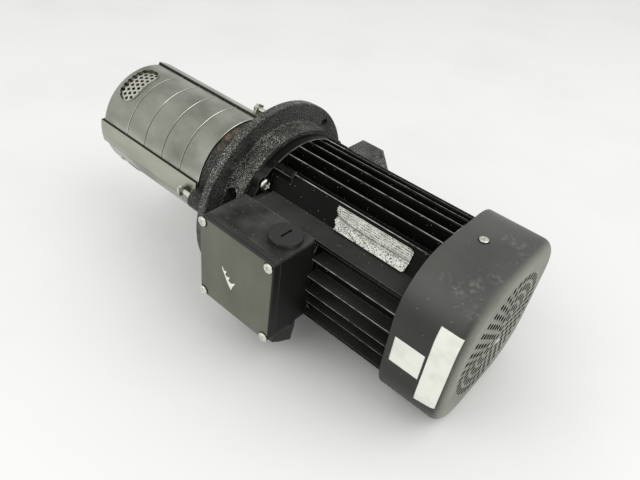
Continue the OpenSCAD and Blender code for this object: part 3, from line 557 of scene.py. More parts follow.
def fin_glints(tree, coords, body):
    """A line of rubbed paint and painted highlight on each crest. Its level rises by half a fin's half
    width times (aside / reach) squared, because a round tip reaches out more on a fin that stands aside."""
    size = vector_node(tree, "ABSOLUTE", coords)
    aside = math_node(tree, "MINIMUM", axis_of(tree, size, 1), axis_of(tree, size, 2))
    share = math_node(tree, "DIVIDE", aside, FIN_REACH * MM)
    rise = product(tree, share, share, FIN_HALF / 2 * MM)
    level = math_node(tree, "SUBTRACT", from_shaft(tree, coords), rise)
    crest = band_mask(tree, level, FIN_REACH - CREST_BELOW, FIN_REACH + CREST_ABOVE, CREST_SOFT)
    rubbed = place_field(tree, coords, 140.0, detail=6.0, low=0.25, high=0.60)
    mask = product(tree, crest, fade(tree, aside, *CHANNEL_AT), rubbed)
    return mix_colour(tree, mask, body, FIN_CREST_HIGHLIGHT)


# Dust and painted top light on the upward ledge below the label.
slope_dust_and_light = dust_and_top_light((0.052, 0.054, 0.047), 0.8, where=(1, -37.0, -41.0), least=0.60)
motor_black = dark_skin("motor paint", (0.0040, 0.0041, 0.0036), 0.36, haze=0.4, speck_amount=0.05,
                        wear=0.55, wear_width=0.0006, wear_colour=(0.34, 0.35, 0.31), shine=0.06,
                        marks=(slope_dust_and_light, fin_glints))
print("made:", motor_black.name, "with fins that reach", round(FIN_REACH, 2), "mm")

# %% [markdown]
# The terminal box is dark plastic. Only the flat face of its lid is painted pale, in upright smears, as
# a painted reflection of the bright bench, while the lid's sides stay dark. The face is picked by its
# depth, so the smears need no mesh of their own. A fine line of painted shade runs round the lid's
# step, and a painted shadow ring round each screw.

# %% Box and lid plastic
SCREW_SHADOW = (0.004, 0.004, 0.004)
RING_WIDTH = 0.5
LID_SHEEN = ((0.078, 0.083, 0.062), (0.140, 0.148, 0.113))
LID_FACE = (0.5, 0.2)
LID_STEP, STEP_HALF, STEP_SOFT = 3.0, 0.22, 0.12
STEP_SHADE = (0.001, 0.001, 0.001)
LID_HEAD_R = 4.2

lid_low, lid_high = limits("terminal_lid")
lid_middle = (lid_low + lid_high) / 2
lid_screw_low, lid_screw_high = limits("lid_screws")
LID_SCREW_OUT = ((lid_screw_high - lid_screw_low) / 2 - LID_HEAD_R)[[0, 2]]


def lid_step_shade(tree, coords, body):
    """A fine line of painted shade all round, in the step behind the lid's face."""
    place = lid_low[1] + LID_STEP
    mask = band_mask(tree, axis_of(tree, coords, 1), place - STEP_HALF, place + STEP_HALF, STEP_SOFT)
    return mix_colour(tree, mask, body, STEP_SHADE)


def lid_face_sheen(tree, coords, body):
    """The lid's flat face: a painted reflection in two pale tones mixed by upright smears, with a painted
    shadow ring round each screw.
    """
    behind, within = LID_FACE
    face = fade(tree, axis_of(tree, coords, 1), lid_low[1] + behind, lid_low[1] + within)
    smear = place_field(tree, coords, 26.0, stretch=(1.0, 1.0, 0.35), detail=6.0, low=0.25, high=0.75)
    pale = mix_colour(tree, smear, *LID_SHEEN)
    rings = screw_shadow_rings((lid_middle[0], 0, 0), (LID_SCREW_OUT[0], None, LID_SCREW_OUT[1]),
                       LID_HEAD_R, LID_HEAD_R + RING_WIDTH, SCREW_SHADOW)
    return mix_colour(tree, face, body, rings(tree, coords, pale))


# The box gets dust and painted top light on faces that look up.
box_dark = dark_skin("box plastic", (0.0060, 0.0062, 0.0056), 0.42, haze=0.8, speck_amount=0.16,
                     wear=0.5, wear_width=0.0008, shine=0.18,
                     marks=(dust_and_top_light((0.088, 0.092, 0.080), 1.3, 26.0, thin=0.36),))
# The lid also gets dust and painted top light on faces that look up.
lid_dark = dark_skin("lid plastic", (0.0060, 0.0062, 0.0056), 0.45, haze=0.3, speck_amount=0.02,
                     wear=0.25, shine=0.25,
                     marks=(dust_and_top_light((0.040, 0.042, 0.038), 0.9), lid_step_shade, lid_face_sheen))
print("made:", box_dark.name, "and", lid_dark.name)

# %% [markdown]
# Behind the slots of the fan cover's grille lies shade. A second material inside would need the mesh
# cut up, so the cover's own finish is painted black as shade on the slots' walls and in the hollow
# behind them, found by their distance from the shaft and from the end face.

# %% Painted shade inside the cover
COVER_CORNER = 45.0
GRILLE_R, GRILLE_SOFT = 60.0, 0.5
SLOT_DEPTH = (0.03, 0.08)
SLOT_SHADE = (0.0012, 0.0012, 0.0012)
WALL = (1.0, 1.3)
HOLLOW_DEPTH = (9.0, 9.5)
HOLLOW_SHADE = (0.0015, 0.0015, 0.0015)

cover_low, cover_high = limits("fan_cover")
COVER_END = cover_high[0]
COVER_HALF = cover_high[1]
COVER_FLAT = COVER_HALF - COVER_CORNER


def behind_end(tree, coords, depths):
    """0 at the first depth behind the cover's end face and 1 at the second."""
    first, second = depths
    return fade(tree, axis_of(tree, coords, 0), COVER_END - first, COVER_END - second)


def cover_slot_shade(tree, coords, body):
    """Painted shade: the slots' walls are black from just below the end face, within the grille's radius.
    """
    within = fade(tree, from_shaft(tree, coords), GRILLE_R + GRILLE_SOFT, GRILLE_R)
    mask = product(tree, within, behind_end(tree, coords, SLOT_DEPTH))
    return mix_colour(tree, mask, body, SLOT_SHADE)


def cover_inside_shade(tree, coords, body):
    """Painted shade: the cover's hollow is black, a rounded square drawn in by the wall, short of the end
    face.
    """
    size = vector_node(tree, "ABSOLUTE", coords)
    past = vector_node(tree, "SUBTRACT", size, millimetres(0, COVER_FLAT, COVER_FLAT))
    away = from_shaft(tree, vector_node(tree, "MAXIMUM", past, ORIGIN))
    inner = fade(tree, away, COVER_CORNER - WALL[0], COVER_CORNER - WALL[1])
    mask = product(tree, inner, behind_end(tree, coords, HOLLOW_DEPTH))
    return mix_colour(tree, mask, body, HOLLOW_SHADE)


print("cover ends at", round(COVER_END, 1), "mm, and its half width is", round(COVER_HALF, 1), "mm")

# %% [markdown]
# Outside, the cover is dark grey, with dust and painted top light, and painted paler at its end, where
# light falls. Scuffs sit where hands have been, and a small painted glint sits near the middle of the
# grille.

# %% Cover plastic
LIT_END_REACH = 5.5
LIT_END_GREY = (0.212, 0.217, 0.176)
PALE_SCUFF = (0.27, 0.28, 0.25)
GLINT_BRIGHT = (0.85, 0.85, 0.79)

cover_screw_low, cover_screw_high = limits("cover_screws")
COVER_SCREW_X = (cover_screw_low[0] + cover_screw_high[0]) / 2
COVER_HEAD_R = (cover_screw_high[0] - cover_screw_low[0]) / 2
COVER_SCUFFS = [
    (217.0, -49.0, 63.0, 9.0, 0.5), (222.0, -42.0, 66.5, 9.0, 0.5), (226.5, -44.5, 65.5, 8.0, 0.45),
    (218.0, 16.5, 70.0, 9.0, 0.5), (227.0, 15.0, 70.0, 9.0, 0.55), (233.0, 8.0, 70.0, 7.0, 0.5),
    (231.0, -29.0, 69.8, 8.0, 0.5), (205.0, -48.0, 63.5, 6.0, 0.4), (234.0, -56.0, 57.0, 9.0, 0.35),
]
# A painted highlight: a small bright glint near the middle of the grille.
HUB_GLINT = [(COVER_END, 10.6, -16.0, 4.5, 1.0)]


def cover_lit_end(tree, coords, body):
    """Painted light: the end face and the rim next to it are a paler grey, where light falls on them."""
    patch = place_field(tree, coords, 30.0, detail=5.0, low=0.0, high=0.5)
    mask = product(tree, behind_end(tree, coords, (LIT_END_REACH, 0.0)), patch)
    return mix_colour(tree, mask, body, LIT_END_GREY)


cover_dark = dark_skin(
    "cover plastic", (0.0165, 0.0174, 0.0155), 0.42, haze=0.9, haze_size=14.0, speck_amount=0.035,
    wear=0.15, shine=0.32,
    marks=(dust_and_top_light((0.102, 0.105, 0.094), 0.85, 12.0, least=0.15),
           cover_lit_end,
           patches(COVER_SCUFFS, PALE_SCUFF, 300.0, low=0.46, high=0.86),
           screw_shadow_rings((COVER_SCREW_X, 0, 0), (0, 0, None), COVER_HEAD_R, COVER_HEAD_R + RING_WIDTH,
                      SCREW_SHADOW)),
    last=(cover_slot_shade, cover_inside_shade, patches(HUB_GLINT, GLINT_BRIGHT, 220.0, low=0.20, high=0.42)),
    holes=True)
print("made:", cover_dark.name, "with", len(COVER_SCUFFS), "scuffs")

# %% [markdown]
# The head is a sand casting under black enamel. The sand leaves pits and lumps about a millimetre
# across, and the gloss on top of them sparkles. So many lumps would be heavy as a mesh, so they are a
# bump, and a finer noise paints that sparkle on their tops as bright highlights: more on faces that
# look up, where light falls, and fewer on the collar, which lies in shade. Rust has come through on the
# collar.

# %% Cast iron
CREST_HIGHLIGHT = (0.68, 0.68, 0.59)
PIT_SHARE = 0.35
COLLAR_X = (-16.0, 2.0)
LOOKS_UP = (-0.4, 0.7)
LEAST_CREST = 0.35
DULLER_CAST = 0.12
RUST_BROWN = (0.190, 0.125, 0.065)
RUST_PLACES = [
    (-36.5, -24.0, 49.5, 6.5, 0.9), (-34.0, -15.0, 53.0, 6.0, 0.7), (-33.0, -33.0, 44.0, 6.0, 0.6),
    (-7.6, -41.2, 43.6, 3.0, 0.8),
]


def crest_highlights(tree, coords, rubbed):
    """Painted highlights on fine crests in some areas: most on faces that look up, where light falls, and
    fewer on the collar than beyond it, as painted shade.
    """
    crests = place_field(tree, coords, 1600.0, detail=2.0, low=0.55, high=0.63)
    areas = place_field(tree, coords, 45.0, detail=4.0, low=0.26, high=0.62)
    up = ramp(tree, true_height(tree), *LOOKS_UP, to_low=LEAST_CREST)
    collar_end, flange_start = millimetres(*COLLAR_X)
    out = ramp(tree, axis_of(tree, coords, 0), collar_end, flange_start, to_low=LEAST_CREST)
    return product(tree, crests, product(tree, up, out), product(tree, areas, rubbed))


# Its rubbed argument sets the strength of the painted highlights on the crests.
def cast_skin(name, colour, roughness, depth, marks=(), shine=0.5, rubbed=0.6):
    """Enamel colour over two sizes of lumps, with painted highlights on their tops, and marks."""
    made, tree, shader = start_material(name, colour, roughness)
    shader.inputs["Specular IOR Level"].default_value = shine
    coords = object_coords(tree)
    lumps = place_field(tree, coords, 520.0, detail=4.0, low=0.28, high=0.72)
    pits = place_field(tree, coords, 1500.0, detail=2.0, low=0.3, high=0.7)
    height = math_node(tree, "ADD", lumps, math_node(tree, "MULTIPLY", pits, PIT_SHARE))
    bump(tree, shader, height, strength=1.0, distance=depth)
    cloud = place_field(tree, coords, 30.0, detail=5.0, low=0.35, high=0.8)
    body = mix_colour(tree, cloud, colour, paler(colour, 1.8))
    body = mix_colour(tree, crest_highlights(tree, coords, rubbed), body, CREST_HIGHLIGHT)
    for mark in marks:
        body = mark(tree, coords, body)
    wire(tree, body, shader.inputs["Base Color"])
    rough = ramp(tree, cloud, 0.0, 1.0, roughness, roughness + DULLER_CAST)
    wire(tree, rough, shader.inputs["Roughness"])
    return made


rust = patches(RUST_PLACES, RUST_BROWN, 320.0, low=0.38, high=0.56)
head_black = cast_skin("cast head", (0.0042, 0.0043, 0.0039), 0.27, 0.0007, marks=(rust,), shine=0.26,
                       rubbed=1.0)
coupling_iron = cast_skin("coupling iron", (0.10, 0.10, 0.10), 0.5, 0.0003, rubbed=0.1)
print("made:", head_black.name, "and", coupling_iron.name)

# %% [markdown]
# Drawn and rolled stainless sheet is never a mirror. Fine lines run round the chambers, and slow
# smudges of dried coolant change the gloss. One could lower the reflection everywhere, but the eye
# reads steel by how its gloss changes, so roughness does most of the work here.

# %% Steel skin
LINE_SHARE, SMUDGE_SHARE = 0.15, 0.85


def steel_skin(name, colour, low, high, stretch=UNIT, lines=900.0, smudge=0.35, line_depth=0.000012,
               stain=(0.30, 0.295, 0.24), marks=()):
    """Metal whose roughness follows fine lines and smudges, and whose colour dulls in stains."""
    made, tree, shader = start_material(name, colour, (low + high) / 2, metallic=1.0)
    coords = object_coords(tree)
    fine = place_field(tree, coords, lines, stretch, detail=3.0)
    cloud = place_field(tree, coords, 38.0, stretch=(0.55, 1.0, 1.0), detail=3.0, low=0.34, high=0.68)
    rough = math_node(tree, "ADD", math_node(tree, "MULTIPLY", fine, LINE_SHARE),
                      math_node(tree, "MULTIPLY", cloud, SMUDGE_SHARE))
    wire(tree, ramp(tree, rough, 0.1, 0.9, low, high), shader.inputs["Roughness"])
    body = mix_colour(tree, math_node(tree, "MULTIPLY", cloud, smudge), colour, stain)
    for mark in marks:
        body = mark(tree, coords, body)
    wire(tree, body, shader.inputs["Base Color"])
    bump(tree, shader, fine, strength=0.5, distance=line_depth)
    return made


# %% [markdown]
# Two steels carry painted light. The grooves between the chambers get painted shade below a rim that
# carries a painted highlight in places, and the straps' edges get painted shade. Both are found from
# the shape itself: the groove by its distance from the shaft, the edge by its distance from the
# strap's middle plane.

# %% Stack and strap steel
STACK_R = limits("chamber_4")[1][1]
RIM_IN, RIM_OUT, RIM_SOFT = 0.26, 0.06, 0.04
RIM_HIGHLIGHT = (0.82, 0.83, 0.76)
SHADE_FROM, SHADE_FULL = 0.28, 0.50
GROOVE_END, GROOVE_FULL = 1.4, 1.2
SEAM_SHADE = (0.035, 0.034, 0.028)
STRAP_ANGLES = (60, 180, 300)
STRAP_HALF = 12.0
EDGE_FROM, EDGE_FULL = 0.5, 0.15
EDGE_SHADE = (0.045, 0.042, 0.034)


def seam_shade_and_highlight(tree, coords, body):
    """Painted highlight on the grooves' rims in places; painted shade below them, inside the stack's
    radius.
    """
    away = from_shaft(tree, coords)
    rim = band_mask(tree, away, STACK_R - RIM_IN, STACK_R - RIM_OUT, RIM_SOFT)
    rubbed = place_field(tree, coords, 26.0, detail=2.0, low=0.35, high=0.60)
    body = mix_colour(tree, product(tree, rim, rubbed), body, RIM_HIGHLIGHT)
    below = fade(tree, away, STACK_R - SHADE_FROM, STACK_R - SHADE_FULL)
    in_groove = fade(tree, away, STACK_R - GROOVE_END, STACK_R - GROOVE_FULL)
    return mix_colour(tree, product(tree, below, in_groove), body, SEAM_SHADE)


def strap_edge_shade(tree, coords, body):
    """Painted shade where the least distance to a strap's middle plane is near a strap's half width."""
    least = None
    for angle in STRAP_ANGLES:
        turn = math.radians(angle)
        across = vector_value(tree, "DOT_PRODUCT", coords, (0.0, -math.sin(turn), math.cos(turn)))
        size = math_node(tree, "ABSOLUTE", across)
        least = size if least is None else math_node(tree, "MINIMUM", least, size)
    mask = fade(tree, least, STRAP_HALF - EDGE_FROM, STRAP_HALF - EDGE_FULL)
    return mix_colour(tree, mask, body, EDGE_SHADE)


stack_steel = steel_skin("stack steel", (0.405, 0.415, 0.358), 0.20, 0.38, (1.0, 0.06, 0.06), smudge=0.8,
                         line_depth=0.000003, stain=(0.185, 0.190, 0.157), marks=(seam_shade_and_highlight,))
strap_steel = steel_skin("strap steel", (0.42, 0.43, 0.36), 0.28, 0.44, (0.05, 1.0, 1.0), smudge=0.4,
                         stain=(0.28, 0.28, 0.23), marks=(strap_edge_shade,))
print("made:", stack_steel.name, "for a radius of", round(STACK_R, 1), "mm, and", strap_steel.name)

# %% [markdown]
# The other metals need no marks. They differ in colour, in gloss and in the way their lines run: round
# a turned shaft or a stack of sheets, along the windings, or in no direction on a casting.

# %% Other metals
screen_steel = steel_skin("screen steel", (0.66, 0.66, 0.58), 0.30, 0.45, smudge=0.2)
inner_steel = steel_skin("inner steel", (0.52, 0.52, 0.51), 0.25, 0.42, (1.0, 0.1, 0.1))
zinc_plate = steel_skin("zinc plate", (0.70, 0.70, 0.64), 0.20, 0.34, lines=500.0, smudge=0.25)
cast_aluminium = steel_skin("cast aluminium", (0.58, 0.58, 0.57), 0.4, 0.6, lines=300.0)
lamination = steel_skin("lamination", (0.24, 0.24, 0.25), 0.4, 0.6, (1.0, 0.02, 0.02), lines=1600.0,
                        line_depth=0.00003)
copper_wire = steel_skin("copper wire", (0.55, 0.20, 0.07), 0.3, 0.45, (0.1, 1.0, 1.0), lines=700.0,
                         line_depth=0.0002, stain=(0.25, 0.09, 0.03))
brass_stud = steel_skin("brass stud", (0.62, 0.44, 0.16), 0.3, 0.45)
print("made:", ", ".join(metal.name for metal in (screen_steel, inner_steel, zinc_plate, cast_aluminium,
                                                  lamination, copper_wire, brass_stud)))

# %% [markdown]
# Hidden rubber, carbide and polymer rings are plain, but still not one flat colour: each gets a soft
# mottle and a fine grain, from the same recipe as the dark skins.

# %% Rubber and carbide
seal_rubber = dark_skin("seal rubber", (0.014, 0.014, 0.014), 0.6, haze=0.8, grain=1500.0,
                        speck_amount=0.05, wear=0.05)
carbide = dark_skin("carbide", (0.06, 0.06, 0.06), 0.35, haze=0.3, speck_amount=0.0, wear=0.05)
polymer = dark_skin("polymer", (0.16, 0.16, 0.15), 0.5, haze=0.3, speck_amount=0.0, wear=0.05)
print("made:", seal_rubber.name, "and", carbide.name, "and", polymer.name)

# %% [markdown]
# Each solid keeps its mesh and takes the finish of its record slot. The lid shares the box's slot but
# has a rubbed face, so it gets a finish of its own.

# %% Dress the solids
FINISH = {
    "stainless": stack_steel, "screen": screen_steel, "strap_steel": strap_steel,
    "inner_steel": inner_steel, "zinc": zinc_plate, "black_iron": head_black,
    "coupling_iron": coupling_iron, "carbide": carbide, "polymer": polymer,
    "motor_grey": motor_black, "cover_grey": cover_dark, "box_grey": box_dark,
    "lamination": lamination, "copper": copper_wire, "seal_rubber": seal_rubber,
    "black_plastic": black_plastic, "brass": brass_stud, "cast_aluminium": cast_aluminium,
    "fan_plastic": fan_black,
}


def dress(solid, finish):
    """Puts one finish in place of a solid's materials."""
    solid.data.materials.clear()
    solid.data.materials.append(finish)


slot_of = {row["node"]: row["material_slot"] for row in frame["record"]["subparts"]}
for name, solid in nodes.items():
    dress(solid, FINISH[slot_of[name]])
dress(nodes["terminal_lid"], lid_dark)
print("dressed", len(nodes), "solids in", len(FINISH), "finishes")

# %% [markdown]
# New pieces are surfaces on a grid. Placing points one by one is slow and hard to read, so numpy works
# out whole rows of them at once, and quads join them. A sheet gets its thickness from a modifier.

# %% Grid helpers


def grid_faces(rows, columns, wrap=False):
    """Quads between neighbouring points of a grid; wrap joins the last column to the first."""
    last = columns if wrap else columns - 1
    r, c = np.meshgrid(np.arange(rows - 1), np.arange(last), indexing="ij")
    here, below = r * columns, (r + 1) * columns
    right = (c + 1) % columns
    return np.stack([here + c, here + right, below + right, below + c], axis=-1).reshape(-1, 4)


def make_piece(name, points, faces, finish, body="root", smooth=True):
    """A mesh object in place, riding on a body."""
    mesh = bpy.data.meshes.new(name)
    corners = np.asarray(points, float).reshape(-1, 3).tolist()
    mesh.from_pydata(corners, [], [[int(i) for i in face] for face in faces])
    mesh.polygons.foreach_set("use_smooth", [smooth] * len(mesh.polygons))
    mesh.update()
    made = bpy.data.objects.new(name, mesh)
    bpy.context.scene.collection.objects.link(made)
    mesh.materials.append(finish)
    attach(made, body)
    return made


def thicken(sheet, thickness):
    """Gives a sheet its thickness in millimetres, outward from its grid."""
    shell = sheet.modifiers.new("thickness", "SOLIDIFY")
    shell.thickness = thickness * MM
    shell.offset = 1.0


# %% [markdown]
# The bright pan-head screws have a cross recess. It could be cut with a boolean, but a head is simply
# a height over a round grid: a dome, less a cross whose walls slope. Below it a short shank closes the
# form.

# %% Pan heads
HEAD_ROWS = 26
HEAD_COLUMNS = 96
ROW_POWER = 0.9
RIM_SHARE, DOME_POWER = 0.42, 2.4
ARM_HALF, ARM_REACH, WALL_RUN = 0.115, 0.56, 0.10
RECESS_SHARE = 0.62
WELD_M = 1e-6


def head_points(radius, height, shank, length, turn):
    """Rings from the crown's middle outwards and down; height = dome - cross recess."""
    share = np.linspace(0.0, 1.0, HEAD_ROWS) ** ROW_POWER
    angle = np.linspace(0.0, 2 * np.pi, HEAD_COLUMNS, endpoint=False)
    r = share[:, None] * radius * np.ones(HEAD_COLUMNS)
    a = np.ones((HEAD_ROWS, 1)) * angle
    crown = np.sqrt(np.clip(1 - share[:, None] ** DOME_POWER, 0, 1))
    dome = height * (RIM_SHARE + (1 - RIM_SHARE) * crown)
    u = np.abs(r * np.cos(a + turn))
    v = np.abs(r * np.sin(a + turn))
    arm, reach = ARM_HALF * radius, ARM_REACH * radius
    across = np.minimum(np.maximum(u - reach, v - arm), np.maximum(v - reach, u - arm))
    depth = height * RECESS_SHARE * np.clip(0.5 - across / (WALL_RUN * radius), 0, 1)
    rings = [np.stack([r * np.cos(a), r * np.sin(a), dome - depth], -1)]
    for rr, z in ((radius, 0.0), (shank, 0.0), (shank, -length), (0.0, -length)):
        level = np.full(HEAD_COLUMNS, z)
        rings.append(np.stack([rr * np.cos(angle), rr * np.sin(angle), level], -1)[None])
    return np.concatenate(rings, 0)


def screw_set(name, places, across, turns, radius, height, shank, length):
    """Equal screws as one piece: a place is a point and the way its head looks, along local z."""
    x = np.asarray(across, float)
    points, faces, start = [], [], 0
    for (place, outward), turn in zip(places, turns):
        z = np.asarray(outward, float)
        axes = np.stack([x, np.cross(z, x), z])
        local = head_points(radius, height, shank, length, turn)
        rows = local.shape[0]
        points.append((local.reshape(-1, 3) @ axes + np.asarray(place)) * MM)
        faces.append(grid_faces(rows, HEAD_COLUMNS, wrap=True) + start)
        start += rows * HEAD_COLUMNS
    made = make_piece(name, np.concatenate(points), np.concatenate(faces), zinc_plate)
    weld = made.modifiers.new("weld", "WELD")
    weld.merge_threshold = WELD_M
    return made


# %% [markdown]
# Ten screws show: four in the drive shield's corners, four in the lid and two in the fan cover. Their
# places are measured from the solids that they stand for, and no two recesses are turned alike.

# %% Screw heads
QUARTERS = [(-1, -1), (-1, 1), (1, -1), (1, 1)]
SHIELD_HEAD_R = 5.5
shield_low, shield_high = limits("shield_screws")
shield_x = limits("motor_frame")[0][0]
shield_out = shield_high[1] - SHIELD_HEAD_R

shield_heads = screw_set(
    "shield_screw_heads", [((shield_x, i * shield_out, j * shield_out), (1, 0, 0)) for i, j in QUARTERS],
    across=(0, 1, 0), turns=[0.5, 0.9, 0.2, 0.7], radius=SHIELD_HEAD_R, height=shield_high[0] - shield_x,
    shank=3.0, length=shield_x - shield_low[0])
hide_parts("shield_screws")

aside, up = LID_SCREW_OUT
lid_places = [(lid_middle[0] + i * aside, lid_low[1], j * up) for i, j in QUARTERS]
lid_heads = screw_set(
    "lid_screw_heads", [(place, (0, -1, 0)) for place in lid_places],
    across=(1, 0, 0), turns=[0.3, 0.8, 0.55, 0.1], radius=LID_HEAD_R, height=lid_low[1] - lid_screw_low[1],
    shank=2.0, length=lid_screw_high[1] - lid_low[1])
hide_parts("lid_screws")

cover_heads = screw_set(
    "cover_screw_heads", [((COVER_SCREW_X, 0, cover_high[2]), (0, 0, 1)),
                          ((COVER_SCREW_X, 0, cover_low[2]), (0, 0, -1))],
    across=(1, 0, 0), turns=[0.25, 0.6], radius=COVER_HEAD_R, height=cover_screw_high[2] - cover_high[2],
    shank=2.0, length=10.0)
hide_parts("cover_screws")
print("made:", [heads.name for heads in (shield_heads, lid_heads, cover_heads)])

# %% [markdown]
# The rating label is thin silver foil, pressed over the sloped wall of the frame. Below a fold its
# lower part has come away and flares outward, and one crease runs down into that part from the left. A
# cloth simulation would crumple it in other places than the real one, so the foil is a grid lifted by
# named forms: a dip at the fold, the flare, the crease, a curled rim and two sets of sharp ridges.

# %% Label shape
SLOPE_TOP = np.array([-32.55, 58.6])
SLOPE_FOOT = np.array([-42.0, 41.0])
SLOPE_LEN = float(np.linalg.norm(SLOPE_FOOT - SLOPE_TOP))
SLOPE_DOWN = (SLOPE_FOOT - SLOPE_TOP) / SLOPE_LEN
SLOPE_OUT = np.array([SLOPE_DOWN[1], -SLOPE_DOWN[0]])
LABEL_X = (101.8, 173.0)
LABEL_S = (1.4, 19.4)
LABEL_CUT = 0.33
LABEL_ROUND = 3.0
LABEL_GRID = (90, 260)
FOLD_LEFT, FOLD_SLANT, FOLD_HOOK, FOLD_HOOK_LEN = 13.9, 0.030, 5.0, 11.0
RIDGES = 16
SLANTS, WAVES, SIZES = (-1.2, 1.2), (0.6, 2.6), (0.3, 1.0)
FOIL_LIFT = 0.85
FLARE, FLARE_POWER = 1.5, 0.75
DIP, DIP_ABOVE, DIP_WIDTH = 0.75, 0.4, 1.2
CREASE, CREASE_X, CREASE_S, CREASE_SLANT, CREASE_WIDTH = 0.7, 106.0, 12.0, 0.33, 0.8
CREASE_MIDDLE, CREASE_HALF = 118.0, 12.0
RIM, RIM_WIDTH = 0.35, 1.2
BROAD, BROAD_BELOW = 0.20, 3.0
FINE, FINE_SCALE, FINE_SEED, FINE_RISE = 0.45, 1.3, 9, 3


def bell(distance, width, power=2):
    """1 at no distance, falling off smoothly past the width: exp(-(distance / width) ** power)."""
    return np.exp(-(distance / width) ** power)


def fold_at(x):
    """Distance down the slope of the fold: a slanted line that hooks up at its left end."""
    along = x - LABEL_X[0]
    return FOLD_LEFT - FOLD_SLANT * along - FOLD_HOOK * np.exp(-np.maximum(along, 0) / FOLD_HOOK_LEN)


def wrinkle(x, s, seed=4):
    """Sum of ridges: each is a folded sine of a slanted coordinate, so it has a sharp crest."""
    rng = np.random.default_rng(seed)
    total = np.zeros_like(x)
    for _ in range(RIDGES):
        slant = rng.uniform(*SLANTS)
        wave = rng.uniform(*WAVES)
        along = x * np.sin(slant) + s * np.cos(slant)
        ridge = 1 - np.abs(np.sin(wave * along + rng.uniform(0, 6)))
        total += ridge * rng.uniform(*SIZES) / RIDGES
    return total


def label_outline():
    """A grid of (x, s) on the slope: cut slanted and ragged on the left, rounded on the right."""
    rows, columns = LABEL_GRID
    s = np.linspace(*LABEL_S, rows)[:, None] * np.ones(columns)
    share = np.linspace(0.0, 1.0, columns)[None] * np.ones((rows, 1))
    ragged = 0.7 * np.sin(s * 0.8 + 1.0) + 0.3 * np.sin(s * 2.9)
    left = LABEL_X[0] + LABEL_CUT * (s - LABEL_S[0]) + ragged
    edge = np.minimum(s - LABEL_S[0], LABEL_S[1] - s)
    short = np.clip(LABEL_ROUND - edge, 0, None)
    right = LABEL_X[1] - LABEL_ROUND + np.sqrt(np.clip(LABEL_ROUND ** 2 - short ** 2, 0, None))
    return left + share * (right - left), s, right


def label_points():
    """The outline's grid, lifted off the slope by the flare, dip, crease, rim and ridges."""
    x, s, right = label_outline()
    past = s - fold_at(x)
    below = np.clip(past / (LABEL_S[1] - fold_at(x)), 0, 1)
    flare = FLARE * below ** FLARE_POWER - DIP * bell(past + DIP_ABOVE, DIP_WIDTH)
    crease = bell(s - CREASE_S - CREASE_SLANT * (x - CREASE_X), CREASE_WIDTH)
    crease = CREASE * crease * bell(x - CREASE_MIDDLE, CREASE_HALF, power=4)
    broad = BROAD * wrinkle(x, s) * (1 + BROAD_BELOW * below)
    fine = FINE * wrinkle(FINE_SCALE * x, FINE_SCALE * s, FINE_SEED)
    fine = fine * np.clip(FINE_RISE * below, 0, 1)
    lift = FOIL_LIFT + broad + fine + flare - crease + RIM * bell(x - right, RIM_WIDTH)
    y = SLOPE_TOP[0] + SLOPE_DOWN[0] * s + SLOPE_OUT[0] * lift
    z = SLOPE_TOP[1] + SLOPE_DOWN[1] * s + SLOPE_OUT[1] * lift
    return np.stack([x, y, z], -1) * MM


# %% [markdown]
# The foil is dull silver. Above the fold it carries rows of worn dark flecks that say nothing, and
# below it the flecks are scattered. The rows are a sine of the distance down the slope, and noise
# breaks them up, so no picture is needed.

# %% Label foil
FLECK_PITCH = 1.7
FOLD_SOFT = 1.0
FOIL_CLEAN, FOIL_DULL = (0.64, 0.65, 0.585), (0.40, 0.41, 0.36)
FLECK_COLOUR = (0.05, 0.05, 0.045)
PRINT_STRENGTH = 0.95
SPOTS_BELOW, SPOTS_ABOVE = 0.85, 0.35
LEAST_DULL = 0.55
FOIL_THICK = 0.12


def down_slope(tree, coords):
    """Distance down the slope from its top: the place dotted with the slope's direction."""
    way = (0.0, float(SLOPE_DOWN[0]), float(SLOPE_DOWN[1]))
    start = float(SLOPE_TOP @ SLOPE_DOWN) * MM
    return math_node(tree, "SUBTRACT", vector_value(tree, "DOT_PRODUCT", coords, way), start)


def fleck_mask(tree, coords, s, above):
    """Rows of flecks above the fold, or scattered rubbed spots, whichever is darker."""
    wave = math_node(tree, "SINE", math_node(tree, "MULTIPLY", s, 2 * math.pi / (FLECK_PITCH * MM)))
    rows = ramp(tree, wave, -0.1, 0.5)
    flecks = place_field(tree, coords, 1300.0, stretch=(0.7, 1.0, 1.0), detail=1.0, low=0.46, high=0.53)
    areas = place_field(tree, coords, 120.0, detail=2.0, low=0.30, high=0.55)
    printed = product(tree, rows, flecks, areas, above, PRINT_STRENGTH)
    spots = place_field(tree, coords, 1000.0, detail=3.0, low=0.51, high=0.58)
    rubbed = product(tree, spots, ramp(tree, above, 0.0, 1.0, SPOTS_BELOW, SPOTS_ABOVE))
    return math_node(tree, "MAXIMUM", printed, rubbed)


def make_foil():
    """Silver mixed with a duller silver by slow noise, then with the flecks, over a crumpled bump."""
    made, tree, shader = start_material("label foil", (0.62, 0.62, 0.55), 0.32, metallic=0.5)
    coords = object_coords(tree)
    s = down_slope(tree, coords)
    fold = fold_at(LABEL_X[1])
    above = fade(tree, s, fold + FOLD_SOFT, fold - FOLD_SOFT)
    dark = fleck_mask(tree, coords, s, above)
    dull = place_field(tree, coords, 70.0, detail=4.0, low=0.25, high=0.70)
    aged = product(tree, dull, math_node(tree, "MAXIMUM", above, LEAST_DULL))
    silver = mix_colour(tree, aged, FOIL_CLEAN, FOIL_DULL)
    wire(tree, mix_colour(tree, dark, silver, FLECK_COLOUR), shader.inputs["Base Color"])
    wire(tree, ramp(tree, dark, 0.0, 1.0, 0.30, 0.55), shader.inputs["Roughness"])
    bump(tree, shader, place_field(tree, coords, 620.0, detail=4.0), strength=0.8, distance=0.00022)
    return made


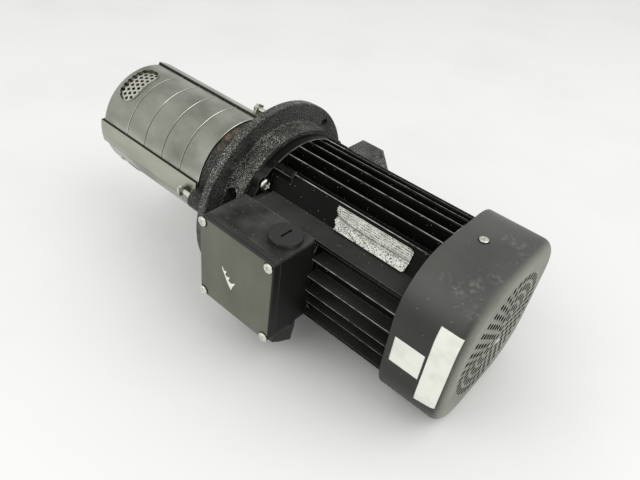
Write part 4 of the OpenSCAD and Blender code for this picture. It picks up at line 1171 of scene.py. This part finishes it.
label = make_piece("rating_label", label_points(), grid_faces(*LABEL_GRID), make_foil())
thicken(label, FOIL_THICK)
print("label grid:", LABEL_GRID, "on a slope of", round(SLOPE_LEN, 1), "mm")

# %% [markdown]
# Two blank white stickers hug the fan cover. Flat sheets would cut into its rounded corners, so each
# is a grid on the cover's own surface: flat on the side, round the corner, and bent in at the end,
# where the cover is filleted. Handling has left a little grime on the paper.

# %% Stickers
COVER_FILLET = 8.7
STICKER_LIFT, STICKER_THICK = 0.06, 0.14


def mottled(name, colour, roughness, tones, size, detail):
    """A matt finish that drifts between two tones; returns it with its tree, shader and coordinates."""
    made, tree, shader = start_material(name, colour, roughness)
    coords = object_coords(tree)
    cloud = place_field(tree, coords, size, detail=detail, low=0.45, high=0.85)
    wire(tree, mix_colour(tree, cloud, *tones), shader.inputs["Base Color"])
    return made, tree, shader, coords


def on_cover(x, t, lift):
    """Point on the cover at x, a distance t round its section from the middle of the -Y side."""
    turn = np.clip(np.abs(t) - COVER_FLAT, 0, None) / COVER_CORNER
    into = np.clip(x - (COVER_END - COVER_FILLET), 0, COVER_FILLET)
    inset = COVER_FILLET - np.sqrt(COVER_FILLET ** 2 - into ** 2)
    r = COVER_CORNER - inset + lift
    y = -COVER_FLAT - r * np.cos(turn)
    z = np.sign(t) * (np.clip(np.abs(t), 0, COVER_FLAT) + r * np.sin(turn))
    return np.stack([x + 0 * t, y, z], -1) * MM


def sticker(name, corners, finish, rows=40, columns=24):
    """A patch that blends four corners, given as (x, t), laid on the cover with a slight lift."""
    u = np.linspace(0, 1, rows)[:, None]
    v = np.linspace(0, 1, columns)[None]
    c = np.asarray(corners, float)
    weights = ((1 - u) * (1 - v), (1 - u) * v, u * v, u * (1 - v))
    blend = sum(weight[..., None] * corner for weight, corner in zip(weights, c))
    points = on_cover(blend[..., 0], blend[..., 1], STICKER_LIFT)
    made = make_piece(name, points, grid_faces(rows, columns), finish)
    thicken(made, STICKER_THICK)
    return made


paper, paper_tree, paper_shader, paper_coords = mottled(
    "sticker paper", (0.80, 0.80, 0.78), 0.45, ((0.815, 0.825, 0.750), (0.64, 0.65, 0.58)), 90.0, 6.0)
fibre = place_field(paper_tree, paper_coords, 1200.0, detail=2.0)
bump(paper_tree, paper_shader, fibre, strength=0.2, distance=0.00003)

small_sticker = sticker("small_sticker", [(192.5, -13), (217.7, -13), (217.7, 12), (192.5, 12)], paper)
large_sticker = sticker("large_sticker", [(219.5, -34), (236.5, -30), (237, 43), (220, 43)], paper,
                        rows=90)
print("stickers:", small_sticker.name, "and", large_sticker.name)

# %% [markdown]
# A torn scrap of paper is left on the lid: a thin wedge with a toothed edge. Its outline is a short
# list of points, because a torn edge has no formula.

# %% Paper scrap
SCRAP_OUTLINE = [
    (53.0, 5.6), (52.8, 3.6), (54.9, -0.6), (56.6, -3.2), (58.2, -6.4), (60.9, -10.6), (63.4, -13.2),
    (64.6, -9.4), (67.9, -3.2), (63.2, -6.2), (60.0, -5.4), (61.6, -0.9), (58.4, -2.4), (56.2, -1.0),
    (58.0, 3.0), (55.0, 2.2),
]
SCRAP_THICK = 0.12
SCRAP_GAP = 0.02


def make_scrap(finish):
    """A flat prism on the lid's face: down the straight left edge, then up the toothed right edge."""
    count = len(SCRAP_OUTLINE)
    face_y = lid_low[1] - SCRAP_GAP
    points = [(x * MM, (face_y - h) * MM, z * MM) for h in (0.0, SCRAP_THICK) for x, z in SCRAP_OUTLINE]
    faces = [list(range(count)), list(range(2 * count - 1, count - 1, -1))]
    faces += [[i, i + count, (i + 1) % count + count, (i + 1) % count] for i in range(count)]
    return make_piece("paper_scrap", points, faces, finish, smooth=False)


scrap = make_scrap(paper)
print("scrap:", scrap.name, "with", len(SCRAP_OUTLINE), "points")

# %% [markdown]
# Small lamps would give hard shadows, so two large square ones shine from overhead and from the side,
# with an even pale world around them. The bench is close to white in its own colour, so no lamp has
# to push it there.

# %% Light
LAMPS = [("key", (1.25, 0.45, 1.55)), ("front", (-0.45, -1.5, 1.25))]
LAMP_AIM = (0.05, 0, 0)
LAMP_SIZE = 1.7
LAMP_POWER = 12.0
WORLD_STRENGTH = 0.74


def area_lamp(name, place):
    """A square lamp that faces the pump."""
    data = bpy.data.lights.new(name, "AREA")
    data.shape = "SQUARE"
    data.size = LAMP_SIZE
    data.energy = LAMP_POWER
    lamp = bpy.data.objects.new(name, data)
    bpy.context.scene.collection.objects.link(lamp)
    lamp.location = place
    lamp.rotation_euler = (Vector(LAMP_AIM) - Vector(place)).to_track_quat("-Z", "Y").to_euler()
    return lamp


lamps = [area_lamp(name, place) for name, place in LAMPS]
world = bpy.data.worlds.new("studio")
bpy.context.scene.world = world
world.use_nodes = True
backdrop = world.node_tree.nodes["Background"]
feed(world.node_tree, backdrop, {"Color": (1.0, 1.0, 1.0, 1.0), "Strength": WORLD_STRENGTH})

bench_top = mottled("bench top", (0.90, 0.90, 0.89), 0.55, ((0.92, 0.92, 0.905), (0.86, 0.86, 0.84)),
                    5.0, 8.0)[0]
bench.data.materials.append(bench_top)
bpy.context.scene.view_settings.view_transform = "Standard"
print("lamps:", [lamp.name for lamp in lamps], "and a world of strength", WORLD_STRENGTH)
